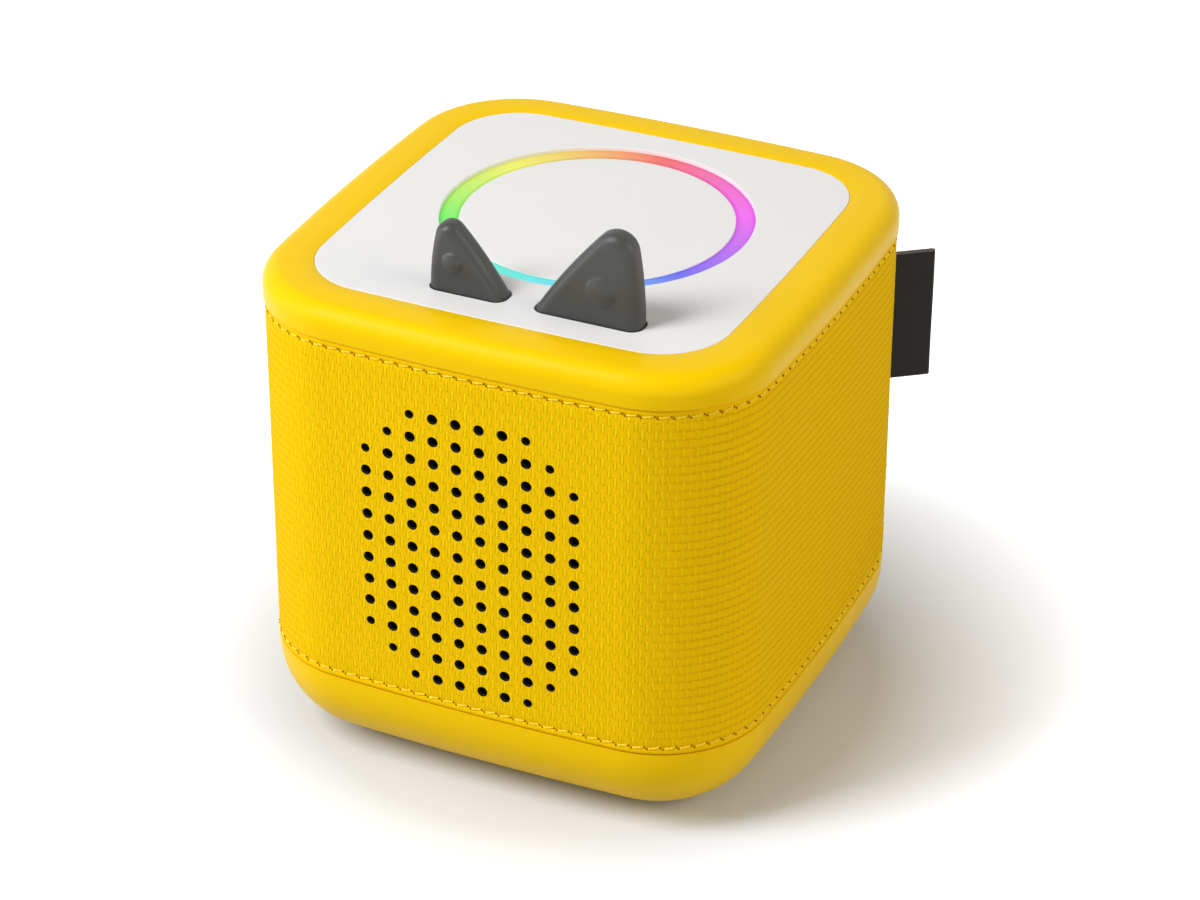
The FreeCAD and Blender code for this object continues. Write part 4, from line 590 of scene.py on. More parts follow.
def merge_doubles(mesh, distance):
    """Weld the points that lie closer together than a distance."""
    bm = bmesh.new()
    bm.from_mesh(mesh)
    bmesh.ops.remove_doubles(bm, verts=bm.verts, dist=distance)
    bm.to_mesh(mesh)
    bm.free()


def soften(mesh, degrees=30.0):
    """Smooth shading that keeps the edges sharper than an angle."""
    mesh.shade_smooth()
    mesh.set_sharp_from_angle(angle=math.radians(degrees))


def ring_faces(first, second, count):
    """Quads between two closed rings, each given by the number of its first point."""
    return [(first + turn, first + (turn + 1) % count, second + (turn + 1) % count, second + turn)
            for turn in range(count)]


def loft(rings, closed=True):
    """Points and faces through a list of rings of equal length; closed joins the last to the first."""
    count = len(rings[0])
    points = [point for ring in rings for point in ring]
    faces = []
    for number in range(len(rings) if closed else len(rings) - 1):
        faces += ring_faces(number * count, (number + 1) % len(rings) * count, count)
    return points, faces


def join_rings(bm, first, second):
    """Quads between two closed rings of points that are being edited."""
    count = len(first)
    return [bm.faces.new((first[turn], first[(turn + 1) % count], second[(turn + 1) % count], second[turn]))
            for turn in range(count)]


def edges_around(bm, ring):
    """The edges of a closed ring of points that is being edited."""
    return [bm.edges.get(ends) for ends in zip(ring, ring[1:] + ring[:1])]


def filled_mesh(bm, name, *borders):
    """Fill the flat area inside each set of border edges, and end the editing in a smooth mesh."""
    for edges in borders:
        bmesh.ops.triangle_fill(bm, use_beauty=True, use_dissolve=False, edges=edges)
    bmesh.ops.recalc_face_normals(bm, faces=bm.faces)
    for face in bm.faces:
        face.smooth = True
    mesh = bpy.data.meshes.new(name)
    bm.to_mesh(mesh)
    bm.free()
    return mesh


def settle(piece, slot, *nodes, dressed=False):
    """Hide the frame's parts that a finished piece stands for, hang it under the root, and give it its slot's
    finish unless it has one.
    """
    if not dressed:
        piece.data.materials.clear()
        piece.data.materials.append(MATERIALS[slot])
    if nodes:
        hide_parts(*nodes)
    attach(piece, "root")


def arc_steps(radius, start, end, steps):
    """Offsets along an arc about its own centre, angles in degrees."""
    angles = [math.radians(start + (end - start) * step / steps) for step in range(steps + 1)]
    return [(radius * math.cos(angle), radius * math.sin(angle)) for angle in angles]


def settled_mesh(piece):
    """Turn a piece's modifiers into plain mesh and drop them."""
    bpy.context.view_layer.update()
    evaluated = piece.evaluated_get(bpy.context.evaluated_depsgraph_get())
    mesh = bpy.data.meshes.new_from_object(evaluated)
    piece.modifiers.clear()
    piece.data = mesh


def run_tree(piece, group, **inputs):
    """Run a geometry tree on a piece, with its inputs set by name, and keep the result as plain mesh."""
    modifier = piece.modifiers.new(group.name, "NODES")
    modifier.node_group = group
    identifiers = {item.name: item.identifier for item in group.interface.items_tree
                   if item.item_type == "SOCKET" and item.in_out == "INPUT"}
    for name, value in inputs.items():
        modifier[identifiers[socket_name(name)]] = value
    settled_mesh(piece)


# ------------------------------------------------------------ outlines

class Outline:
    """A crowned square: four long side arcs that run into four corner arcs."""

    def __init__(self, half, side_radius, corner_radius):
        self.side_radius = side_radius
        self.corner_radius = corner_radius
        self.lift = side_radius - half
        inner = side_radius - corner_radius
        self.centre = (math.sqrt(2 * inner ** 2 - self.lift ** 2) - self.lift) / 2
        self.spread = math.atan2(self.centre, self.centre + self.lift)
        self.half_side = self.spread * side_radius
        self.corner = (QUARTER - 2 * self.spread) * corner_radius
        self.length = 4 * (2 * self.half_side + self.corner)

    def at(self, turn, outward=0.0):
        """Point and outward direction where the outline faces a turn from +X."""
        nearest = round(turn / QUARTER)
        facing = Vector((math.cos(turn), math.sin(turn)))
        if abs(turn - nearest * QUARTER) <= self.spread:
            heading, reach, radius = nearest * QUARTER, -self.lift, self.side_radius
        else:
            heading = (math.floor(turn / QUARTER) + 0.5) * QUARTER
            reach, radius = self.centre * math.sqrt(2), self.corner_radius
        centre = Vector((math.cos(heading), math.sin(heading))) * reach
        return centre + facing * (radius + outward), facing

    def turn_after(self, distance):
        """The turn at a distance along the outline, counted from the middle of the +X side."""
        quarter = self.length / 4
        sides, rest = divmod(distance, quarter)
        if rest <= self.half_side:
            off = rest / self.side_radius
        elif rest <= self.half_side + self.corner:
            off = self.spread + (rest - self.half_side) / self.corner_radius
        else:
            off = QUARTER - (quarter - rest) / self.side_radius
        return sides * QUARTER + off

    def distance_to(self, turn):
        """The distance along the outline to a turn on the first corner."""
        return self.half_side + (turn - self.spread) * self.corner_radius

    def turns(self, count):
        """A number of turns at even distances along the outline."""
        return [self.turn_after(self.length * step / count) for step in range(count)]

    def turn_beside(self, reach):
        """The turn on the +X side or corner at a distance from the middle of that side."""
        turn = math.asin(reach / self.side_radius)
        return turn if turn <= self.spread else math.asin((reach - self.centre) / self.corner_radius)

    def ring(self, turns, outward, height):
        """A level ring of points, moved outwards."""
        return [self.at(turn, outward)[0].to_3d() + Vector((0, 0, height)) for turn in turns]


BODY_OUTLINE = Outline(BODY_HALF, BODY_SIDE_RADIUS, BODY_CORNER_RADIUS)
PLATE_OUTLINE = Outline(PLATE_HALF, PLATE_SIDE_RADIUS, PLATE_CORNER_RADIUS)


# ------------------------------------------------------------ rear panel in the cover

def rear_half():
    """Half the width of the panel where its upright edges meet the body."""
    centre = BODY_OUTLINE.centre
    return centre + math.sqrt(BODY_CORNER_RADIUS ** 2 - (REAR_EDGE - centre) ** 2)


def rear_cutter():
    """The space of the rear panel, as a stack of level rectangles that reach past the cover."""
    far, below = BODY_HALF + 4 * MM, CLOTH_BOTTOM - 3 * MM
    wide = rear_half() - REAR_CORNER
    levels = [(below, REAR_SWEEP_DEPTH, far)]
    levels += [(REAR_SWEEP_HEIGHT + up, REAR_SWEEP_DEPTH + across, far)
               for across, up in arc_steps(REAR_SWEEP, -90, 0, 12)]
    levels += [(REAR_CORNER_HEIGHT + up, REAR_EDGE, wide + across)
               for across, up in arc_steps(REAR_CORNER, 0, 90, 14)]
    rings = [[Vector((-half, depth, height)), Vector((half, depth, height)),
              Vector((half, far, height)), Vector((-half, far, height))] for height, depth, half in levels]
    points, faces = loft(rings, closed=False)
    top = len(points) - 4
    faces += [(0, 1, 2, 3), (top, top + 1, top + 2, top + 3)]
    return new_piece("rear_cutter", mesh_from("rear_cutter", points, faces))


def lower_seam(inset):
    """The closed line that runs inside the cover's lower edge and around the rear panel, as turns and
    heights."""
    wide = rear_half() - REAR_CORNER
    right = [(BODY_OUTLINE.turn_beside(REAR_SWEEP_DEPTH + across), REAR_SWEEP_HEIGHT + up)
             for across, up in arc_steps(REAR_SWEEP - inset, -90, 0, 14)]
    right += [(QUARTER - BODY_OUTLINE.turn_beside(wide + across), REAR_CORNER_HEIGHT + up)
              for across, up in arc_steps(REAR_CORNER + inset, 12, 90, 16)]
    back = [(QUARTER + step * 0.01, REAR_TOP + inset) for step in range(-5, 6)]
    left = [(math.pi - turn, height) for turn, height in reversed(right)]
    start, end, steps = left[-1][0], TURN + right[0][0], 160
    front = [(start + (end - start) * step / steps, CLOTH_BOTTOM + inset) for step in range(1, steps)]
    return right + back + left + front


# ------------------------------------------------------------ operators: shells

class PLAYER_OT_base_shell(bpy.types.Operator):
    """Smooth lower shell with the raised panel at the back"""
    bl_idname = "player.base_shell"
    bl_label = "Base shell"

    def execute(self, context):
        mesh = frame["nodes"]["base_tub"].data.copy()
        mesh.name = "base_shell"
        merge_doubles(mesh, 0.001 * MM)
        soften(mesh, 28)
        settle(new_piece("base_shell", mesh), "yellow_shell", "base_tub")
        return {"FINISHED"}


class PLAYER_OT_top_rim(bpy.types.Operator):
    """Smooth ring around the top plate, rounded over the cloth"""
    bl_idname = "player.top_rim"
    bl_label = "Top rim"

    def execute(self, context):
        turns = BODY_OUTLINE.turns(480)
        bulge, tuck, crown = RIM_HIGH.y - BODY_HALF, 0.7 * MM, 4.5 * MM
        tongue, step_in = -2.7 * MM, -1.2 * MM
        outer = [(tongue, RIM_LOW.z), (tongue, CLOTH_TOP), (step_in, CLOTH_TOP)]
        outer += [(bulge - tuck + across, CLOTH_TOP + tuck + up)
                  for across, up in arc_steps(tuck, -90, 0, 8)]
        outer += [(bulge - crown + across, TOP - crown + up) for across, up in arc_steps(crown, 0, 90, 16)]
        gap, lip = 0.06 * MM, 0.2 * MM
        inner = [(gap + lip, TOP), (gap + 0.3 * lip, TOP - 0.3 * lip), (gap, TOP - lip), (gap, RIM_LOW.z)]
        rings = [BODY_OUTLINE.ring(turns, outward, height) for outward, height in outer]
        edge = [PLATE_OUTLINE.ring(turns, outward, height) for outward, height in inner]
        raised = Vector((0, 0, 0.05 * MM))
        middle = [(first + second) / 2 + raised for first, second in zip(rings[-1], edge[0])]
        rim = new_piece("rim", mesh_from("rim", *loft(rings + [middle] + edge)))
        soften(rim.data, 40)
        settle(rim, "yellow_shell", "top_rim")
        return {"FINISHED"}


def round_loop(centre, radius, steps):
    """A level circle: points and the directions that face away from its middle."""
    turns = [TURN * step / steps for step in range(steps)]
    facings = [Vector((math.cos(turn), math.sin(turn))) for turn in turns]
    return [(Vector(centre) + facing * radius, facing) for facing in facings]


def rounded_loop(low, high, gap, radius):
    """A level rounded rectangle a gap outside two corners, given as a circle is."""
    left, right = low.x - gap + radius, high.x + gap - radius
    front, back = low.y - gap + radius, high.y + gap - radius
    loop, steps = [], 10
    for number, corner in enumerate(((right, back), (left, back), (left, front), (right, front))):
        for step in range(steps + 1):
            turn = QUARTER * (number + step / steps)
            facing = Vector((math.cos(turn), math.sin(turn)))
            loop.append((Vector(corner) + facing * radius, facing))
    return loop


def plate_with_openings(name, border, openings, rounding):
    """A flat plate with rounded edges around it and around each opening; the wall of the first opening
    takes the second material, a grey that paints the shade in the recess around the light ring."""
    bm = bmesh.new()
    tops, bottoms = [], []
    for loop, sign in [(border, 1.0)] + [(opening, -1.0) for opening in openings]:
        levels = [(rounding - across, TOP - rounding + up) for across, up in arc_steps(rounding, 90, 0, 4)]
        levels.append((0.0, TOP - PLATE_THICKNESS))
        rings = [[bm.verts.new((point - facing * inset * sign).to_3d() + Vector((0, 0, height)))
                  for point, facing in loop] for inset, height in levels]
        walls = [join_rings(bm, upper, lower) for upper, lower in zip(rings, rings[1:])]
        # the wall around the light ring takes the painted shade
        if loop is openings[0]:
            for face in walls[-1]:
                face.material_index = 1
        tops += edges_around(bm, rings[0])
        bottoms += edges_around(bm, rings[-1])
    for edge in tops + bottoms:
        edge.smooth = False
    return new_piece(name, filled_mesh(bm, name, tops, bottoms))


class PLAYER_OT_top_plate(bpy.types.Operator):
    """White plate with the round opening of the seat and the slots of the ears"""
    bl_idname = "player.top_plate"
    bl_label = "Top plate"

    def execute(self, context):
        sizes = context.scene.player_sizes
        border = [PLATE_OUTLINE.at(turn) for turn in PLATE_OUTLINE.turns(320)]
        ring_gap, ear_gap = 0.1 * MM, 0.3 * MM
        openings = [round_loop(RING_CENTRE.xy, RING_OUTER + ring_gap, 256)]
        openings += [rounded_loop(ear.low, ear.high, ear_gap, sizes.ear_fillet + ear_gap) for ear in EARS]
        plate = plate_with_openings("plate", border, openings, sizes.edge_rounding)
        settle(plate, "white_plastic", "top_plate")
        # painted shade for the wall of the recess around the light ring
        plate.data.materials.append(MATERIALS["recess_wall_shade"])
        return {"FINISHED"}


# ------------------------------------------------------------ operators: seat and light

def turned(name, section):
    """A closed section of (radius, height) turned about the middle of the ring."""
    steps = 256
    rings = [[Vector((RING_CENTRE.x + radius * math.cos(TURN * step / steps),
                      RING_CENTRE.y + radius * math.sin(TURN * step / steps), height))
              for step in range(steps)] for radius, height in section]
    return new_piece(name, mesh_from(name, *loft(rings)))


class PLAYER_OT_light_ring(bpy.types.Operator):
    """Light guide around the seat, slightly dished"""
    bl_idname = "player.light_ring"
    bl_label = "Light ring"

    def execute(self, context):
        top, low = RING_HIGH.z, RING_LOW.z
        edge, dish, flat = 0.15 * MM, 0.06 * MM, 0.8 * MM
        ring = turned("light_ring", [
            (RING_INNER, low), (RING_OUTER, low), (RING_OUTER, top - edge), (RING_OUTER - edge, top),
            (RING_MIDDLE + flat, top - dish), (RING_MIDDLE - flat, top - dish), (RING_INNER + edge, top),
            (RING_INNER, top - edge)])
        soften(ring.data)
        settle(ring, "light_guide", "light_guide_ring")
        return {"FINISHED"}


class PLAYER_OT_seat(bpy.types.Operator):
    """Round white seat for a figure"""
    bl_idname = "player.seat"
    bl_label = "Seat"

    def execute(self, context):
        top, low = SEAT_HIGH.z, SEAT_LOW.z
        reach, edge, pole = (SEAT_HIGH.x - SEAT_LOW.x) / 2, 0.3 * MM, 0.02 * MM
        section = [(pole, top), (reach * 0.5, top), (reach * 0.9, top)]
        section += [(reach - edge + across, top - edge + up) for across, up in arc_steps(edge, 90, 0, 5)]
        section += [(reach, low), (pole, low)]
        seat = turned("seat", section)
        merge_doubles(seat.data, 0.05 * MM)
        soften(seat.data)
        settle(seat, "white_plastic", "seat_disc")
        return {"FINISHED"}


# ------------------------------------------------------------ operators: ears

class Ear:
    """One ear: where it stands in the frame, and the arcs of its outline. Places and radii are given in
    millimetres, heights from the top plate."""

    KNEE = 3.0 * MM

    def __init__(self, name, side, apex, apex_radius, slope_radius, dome, dome_radius):
        self.name = name
        self.side = side
        self.low, self.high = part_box("ear_skin_" + name)
        self.apex = (apex[0] * MM, TOP + apex[1] * MM)
        self.apex_radius, self.slope_radius = apex_radius * MM, slope_radius * MM
        self.dome = (dome[0] * MM, TOP + dome[1] * MM)
        self.dome_radius = dome_radius * MM

    def outline(self, inset, foot):
        """The front outline drawn inside the ear, from the foot of its upright back over the tip to
        the foot of its slope, with the back on the right."""
        side = self.side
        back, slope = (self.high.x, self.low.x) if side > 0 else (-self.low.x, -self.high.x)
        apex = (side * self.apex[0], self.apex[1])
        run, rise = back - apex[0], apex[1] - TOP
        back_radius = (run ** 2 + rise ** 2 - self.apex_radius ** 2) / (2 * (run - self.apex_radius))
        back_centre = (back - back_radius, TOP)
        slope_centre = inner_touch((slope, TOP), apex, self.slope_radius, self.apex_radius)
        knee_across = slope + self.KNEE
        knee_up = math.sqrt((self.slope_radius - self.KNEE) ** 2 - (knee_across - slope_centre[0]) ** 2)
        knee_centre = (knee_across, slope_centre[1] + knee_up)
        turns = [0.0, heading(back_centre, apex), heading(slope_centre, apex),
                 heading(slope_centre, knee_centre), math.pi]
        points = [Vector((back - inset, foot + (TOP - foot) * step / 4)) for step in range(5)]
        for centre, radius, first, last, steps in zip(
                (back_centre, apex, slope_centre, knee_centre),
                (back_radius, self.apex_radius, self.slope_radius, self.KNEE),
                turns, turns[1:], (14, 22, 26, 12)):
            for step in range(1, steps + 1):
                turn = first + (last - first) * step / steps
                points.append(Vector((centre[0] + (radius - inset) * math.cos(turn),
                                      centre[1] + (radius - inset) * math.sin(turn))))
        points += [Vector((slope + inset, knee_centre[1] + (foot - knee_centre[1]) * step / 3))
                   for step in range(1, 4)]
        return [Vector((side * point.x, point.y)) for point in points]


def heading(start, end):
    """The turn from +X in which one point sees another."""
    return math.atan2(end[1] - start[1], end[0] - start[0])


def inner_touch(point, apex, radius, tip):
    """Centre of a circle through a point that holds the tip circle inside it and touches it."""
    across, up = apex[0] - point[0], apex[1] - point[1]
    gap = math.hypot(across, up)
    share = (radius ** 2 - (radius - tip) ** 2 + gap ** 2) / (2 * gap)
    off = math.sqrt(radius ** 2 - share ** 2)
    return (point[0] + (across * share + up * off) / gap, point[1] + (up * share - across * off) / gap)


EARS = (
    Ear("large", 1, (24.7, 16.4), 4.8, 125.0, (22.3, 7.8), 3.5),
    Ear("small", -1, (-14.15, 12.55), 3.0, 85.0, (-12.5, 7.1), 2.4),
)


def ear_mesh(ear, fillet):
    """Closed soft shell with a round press dome raised out of its front."""
    front, back = ear.low.y, ear.high.y
    flat = fillet + 0.08 * MM
    levels = [(flat, front)]
    levels += [(fillet - across, front + fillet - up) for across, up in arc_steps(fillet, 90, 0, 10)]
    levels += [(fillet - across, back - fillet + up) for across, up in arc_steps(fillet, 0, 90, 10)]
    levels.append((flat, back))
    bm = bmesh.new()
    rings = [[bm.verts.new((point.x, depth, point.y)) for point in ear.outline(inset, ear.low.z)]
             for inset, depth in levels]
    for first, second in zip(rings, rings[1:]):
        join_rings(bm, first, second)
    bm.faces.new(rings[-1])
    reach, foot_share = ear.dome_radius * 1.1, 0.15
    steps, turns = 14, 64
    dome = []
    for step in range(steps, 0, -1):
        share = step / steps
        height = DOME_RISE * (1 - share ** 2) * min(1.0, (1 - share) / foot_share)
        dome.append([bm.verts.new((
            ear.dome[0] + reach * share * math.cos(TURN * turn / turns), front - height,
            ear.dome[1] + reach * share * math.sin(TURN * turn / turns))) for turn in range(turns)])
    centre = bm.verts.new((ear.dome[0], front - DOME_RISE, ear.dome[1]))
    for first, second in zip(dome, dome[1:]):
        join_rings(bm, first, second)
    for turn in range(turns):
        bm.faces.new((dome[-1][turn], dome[-1][(turn + 1) % turns], centre))
    mesh = filled_mesh(bm, ear.name + "_ear", edges_around(bm, rings[0]) + edges_around(bm, dome[0]))
    soften(mesh, 50)
    return mesh


class PLAYER_OT_ears(bpy.types.Operator):
    """Soft ears whose domes are the volume buttons that press in; the domes are built at rest"""
    bl_idname = "player.ears"
    bl_label = "Ears"

    def execute(self, context):
        sizes = context.scene.player_sizes
        for ear, action in zip(EARS, ("volume_up", "volume_down")):
            piece = new_piece(ear.name + "_ear", ear_mesh(ear, sizes.ear_fillet))
            piece.data.materials.append(MATERIALS["ear_rubber"])
            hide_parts("ear_skin_" + ear.name, action + "_button")
            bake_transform(piece)
        return {"FINISHED"}


# ------------------------------------------------------------ operators: cloth

def punching_tree():
    """Geometry tree that punches a block of round holes through the front. Its corners are left out, and
    the holes on its slanted edges are a little smaller."""
    group, given, out = new_group("punched_holes", {
        "Geometry": "Geometry", "Pitch": 5.5 * MM, "Radius": 1.25 * MM, "Columns": 10, "Rows": 13,
        "Reach": 8.75, "Middle": (0.0, 0.0, 0.0), "Length": 8 * MM, "Material": "Material",
    }, {"Geometry": "Geometry"}, "GeometryNodeTree")
    width, height = (product(group, given["Pitch"], compute(group, "SUBTRACT", given[count], 1.0))
                     for count in ("Columns", "Rows"))
    grid = add_node(group, "GeometryNodeMeshGrid", {
        "Size X": width, "Size Y": height, "Vertices X": given["Columns"], "Vertices Y": given["Rows"]})
    place = parts_of(group, group.nodes.new("GeometryNodeInputPosition"))
    off = compute(group, "ADD", *(compute(group, "ABSOLUTE", place[axis]) for axis in ("X", "Y")))
    outside = add_node(group, "FunctionNodeCompare", {
        "A": off, "B": product(group, given["Reach"], given["Pitch"])}, operation="GREATER_THAN")
    kept = add_node(group, "GeometryNodeDeleteGeometry", {
        "Geometry": grid, "Selection": outside}, domain="POINT")
    punch = add_node(group, "GeometryNodeMeshCylinder", {
        "Vertices": 28, "Radius": given["Radius"], "Depth": given["Length"]}, fill_type="NGON")
    inside, border = (compute(group, "SUBTRACT", given["Reach"], less) for less in (1.0, 0.9))
    border_size = 0.84
    share = fit(group, compute(group, "DIVIDE", off, given["Pitch"]), inside, border, 1.0, border_size)
    punches = add_node(group, "GeometryNodeInstanceOnPoints", {
        "Points": kept, "Instance": punch,
        "Scale": add_node(group, "ShaderNodeCombineXYZ", {"X": share, "Y": share, "Z": 1.0})})
    whole = add_node(group, "GeometryNodeRealizeInstances", {"Geometry": punches})
    upright = add_node(group, "GeometryNodeTransform", {
        "Geometry": whole, "Translation": given["Middle"], "Rotation": (QUARTER, 0.0, 0.0)})
    # the walls of the holes take a near-black finish, painted shade inside them
    dark = add_node(group, "GeometryNodeSetMaterial", {"Geometry": upright, "Material": given["Material"]})
    cut = add_node(group, "GeometryNodeMeshBoolean", {"Mesh 1": given["Geometry"], "Mesh 2": dark},
                   operation="DIFFERENCE", solver="MANIFOLD")
    feed(group, out["Geometry"], cut)
    return group


def cover_levels(sizes):
    """Rows of the cover's mesh from its lower edge to its upper edge: height, how far the plain cloth
    stands out, and how much of the weave shows."""
    low_seam, high_seam = CLOTH_BOTTOM + sizes.lower_hem, CLOTH_TOP - sizes.hem
    # shares of a hem's width from its edge, and how far it stands out there in millimetres
    hem = [(0.14, 0.0), (0.38, 0.07), (0.64, 0.06), (0.86, -0.03), (1.0, -0.16)]
    lower_hem = [(0.0, -0.7), (0.04, -0.25)] + hem
    upper_hem = [(0.0, -0.3), (0.04, -0.1)] + hem
    hem_weave, seam_weave, seam_depth = 0.25, 0.6, -0.08 * MM
    clear, half_clear = 0.5 * MM, 0.25 * MM
    step = sizes.row_pitch / 2
    numbers = range(math.ceil((low_seam + clear) / step), math.floor((high_seam - clear) / step) + 1)
    levels = [(CLOTH_BOTTOM + share * sizes.lower_hem, out * MM, hem_weave) for share, out in lower_hem]
    levels.append((low_seam + half_clear, seam_depth, seam_weave))
    levels += [(number * step, 0.0, 1.0) for number in numbers]
    levels.append((high_seam - half_clear, seam_depth, seam_weave))
    levels += [(CLOTH_TOP - share * sizes.hem, out * MM, hem_weave) for share, out in reversed(upper_hem)]
    return levels


def cover_mesh(sizes):
    """Closed shell of the cover, its outer side raised by the weave, pulled in along the seams."""
    column_stops = (0.2, 0.5, 0.8)
    places = [number + stop for number in range(sizes.columns) for stop in column_stops]
    count = len(places)
    pitch = BODY_OUTLINE.length / sizes.columns
    start = BODY_OUTLINE.distance_to(SEAM_TURN)
    turns = [BODY_OUTLINE.turn_after(start + pitch * place) for place in places]
    levels = cover_levels(sizes)
    inner, seam_reach, pull, waviness = -1.15 * MM, 1.4 * MM, 0.12 * MM, 0.07 * MM
    join = (-0.35 * MM, 0.10 * MM, 0.12 * MM, 0.05 * MM)
    seams = (CLOTH_BOTTOM + sizes.lower_hem, CLOTH_TOP - sizes.hem)
    facing_aside = [abs(BODY_OUTLINE.at(turn)[1].x) for turn in turns]
    sideways = [min(1.0, max(0.0, (part - SIDE_START) / (SIDE_FULL - SIDE_START))) for part in facing_aside]
    points, woven = [], []
    for height, stand, share in levels:
        near_seam = max(0.0, 1 - min(abs(height - seam) for seam in seams) / seam_reach)
        for step, (turn, place) in enumerate(zip(turns, places)):
            distance = pitch * place
            yarn = yarn_height(place, height / sizes.row_pitch, sideways[step])
            pucker = 0.5 + 0.5 * math.cos(TURN * distance / sizes.stitch_pitch)
            wave = noise.noise(Vector((distance / (30 * MM), height / (22 * MM), 3.1)))
            out = stand + share * (sizes.relief * (yarn - LEVEL_YARN) + waviness * wave)
            out -= near_seam * pucker * pull
            from_join = min(step, count - step)
            if from_join < len(join):
                out += join[from_join]
            spot, _ = BODY_OUTLINE.at(turn, out)
            points.append((spot.x, spot.y, height))
            woven.append(share)
    rows = len(levels)
    faces = []
    for row in range(rows - 1):
        faces += ring_faces(row * count, (row + 1) * count, count)
    base = len(points)
    for height in (levels[0][0], levels[-1][0]):
        points += [tuple(point) for point in BODY_OUTLINE.ring(turns, inner, height)]
    woven += [0.0] * (2 * count)
    faces += ring_faces(base + count, base, count)
    faces += ring_faces(base, 0, count)
    faces += ring_faces((rows - 1) * count, base + count, count)
    mesh = bpy.data.meshes.new("cover")
    mesh.from_pydata(points, [], faces)
    mesh.attributes.new("woven", "FLOAT", "POINT").data.foreach_set("value", woven)
    mesh.attributes.new("sideways", "FLOAT", "POINT").data.foreach_set("value", sideways * (rows + 2))
    uvs = mesh.uv_layers.new(name="cloth")
    flat = []
    for face in mesh.polygons:
        columns = [vertex % count for vertex in face.vertices]
        wraps = max(columns) - min(columns) > count / 2
        for vertex, column in zip(face.vertices, columns):
            past_seam = sizes.columns if wraps and column < count / 2 else 0
            flat += [(places[column] + past_seam) * pitch, points[vertex][2]]
    uvs.data.foreach_set("uv", flat)
    return mesh


class PLAYER_OT_cloth_cover(bpy.types.Operator):
    """Woven cover with its relief, hems, perforations and rear opening"""
    bl_idname = "player.cloth_cover"
    bl_label = "Cloth cover"

    def execute(self, context):
        sizes = context.scene.player_sizes
        cover = new_piece("cloth_cover", cover_mesh(sizes))
        cover.data.materials.append(MATERIALS["yellow_fabric"])
        cutter = rear_cutter()
        opening = cover.modifiers.new("rear_opening", "BOOLEAN")
        opening.operation = "DIFFERENCE"
        opening.solver = "MANIFOLD"
        opening.object = cutter
        run_tree(cover, punching_tree(), pitch=sizes.hole_pitch, radius=sizes.hole_radius,
                 columns=sizes.hole_columns, rows=sizes.hole_rows, material=MATERIALS["punched"],
                 middle=(0.0, -BODY_HALF, sizes.hole_height))
        bpy.data.objects.remove(cutter)
        soften(cover.data, 60)
        settle(cover, "yellow_fabric", "fabric_wrap", dressed=True)
        return {"FINISHED"}


def seam_path(name, places):
    """A closed chain of points on the body with the direction that each faces."""
    mesh = bpy.data.meshes.new(name)
    points, facings = [], []
    for turn, height in places:
        spot, facing = BODY_OUTLINE.at(turn)
        points.append((spot.x, spot.y, height))
        facings += [facing.x, facing.y, 0.0]
    edges = [(number, (number + 1) % len(points)) for number in range(len(points))]
    mesh.from_pydata(points, edges, [])
    mesh.attributes.new("facing", "FLOAT_VECTOR", "POINT").data.foreach_set("vector", facings)
    return new_piece(name, mesh)


def stitch_shape(group, given):
    """A bow of thread that rises out of the cloth and dips back into it."""
    half = product(group, given["Length"], 0.5)
    sunk = product(group, given["Radius"], -1.3)
    high = compute(group, "ADD", given["Stand"], given["Radius"])
    start, end = (add_node(group, "ShaderNodeCombineXYZ", {"X": product(group, half, sign), "Z": sunk})
                  for sign in (-1.0, 1.0))
    top = add_node(group, "ShaderNodeCombineXYZ", {"Z": product(group, high, 2.0)})
    bow = add_node(group, "GeometryNodeCurveQuadraticBezier", {
        "Resolution": 10, "Start": start, "Middle": top, "End": end})
    section = add_node(group, "GeometryNodeCurvePrimitiveCircle", {
        "Resolution": 8, "Radius": given["Radius"]})
    return add_node(group, "GeometryNodeCurveToMesh", {
        "Curve": bow, "Profile Curve": section, "Fill Caps": True})


def needle_shape(group, given):
    """The two flattened dots where the thread goes into the cloth, painted shade of the needle holes."""
    ball = add_node(group, "GeometryNodeMeshUVSphere", {
        "Segments": 8, "Rings": 5, "Radius": given["Radius"]})
    both = add_node(group, "GeometryNodeJoinGeometry")
    for side in (-0.5, 0.5):
        shift = add_node(group, "ShaderNodeCombineXYZ", {
            "X": product(group, given["Length"], side), "Z": given["Stand"]})
        feed(group, both.inputs[0], add_node(group, "GeometryNodeTransform", {
            "Geometry": ball, "Translation": shift, "Scale": (0.9, 1.1, 0.5)}))
    return both


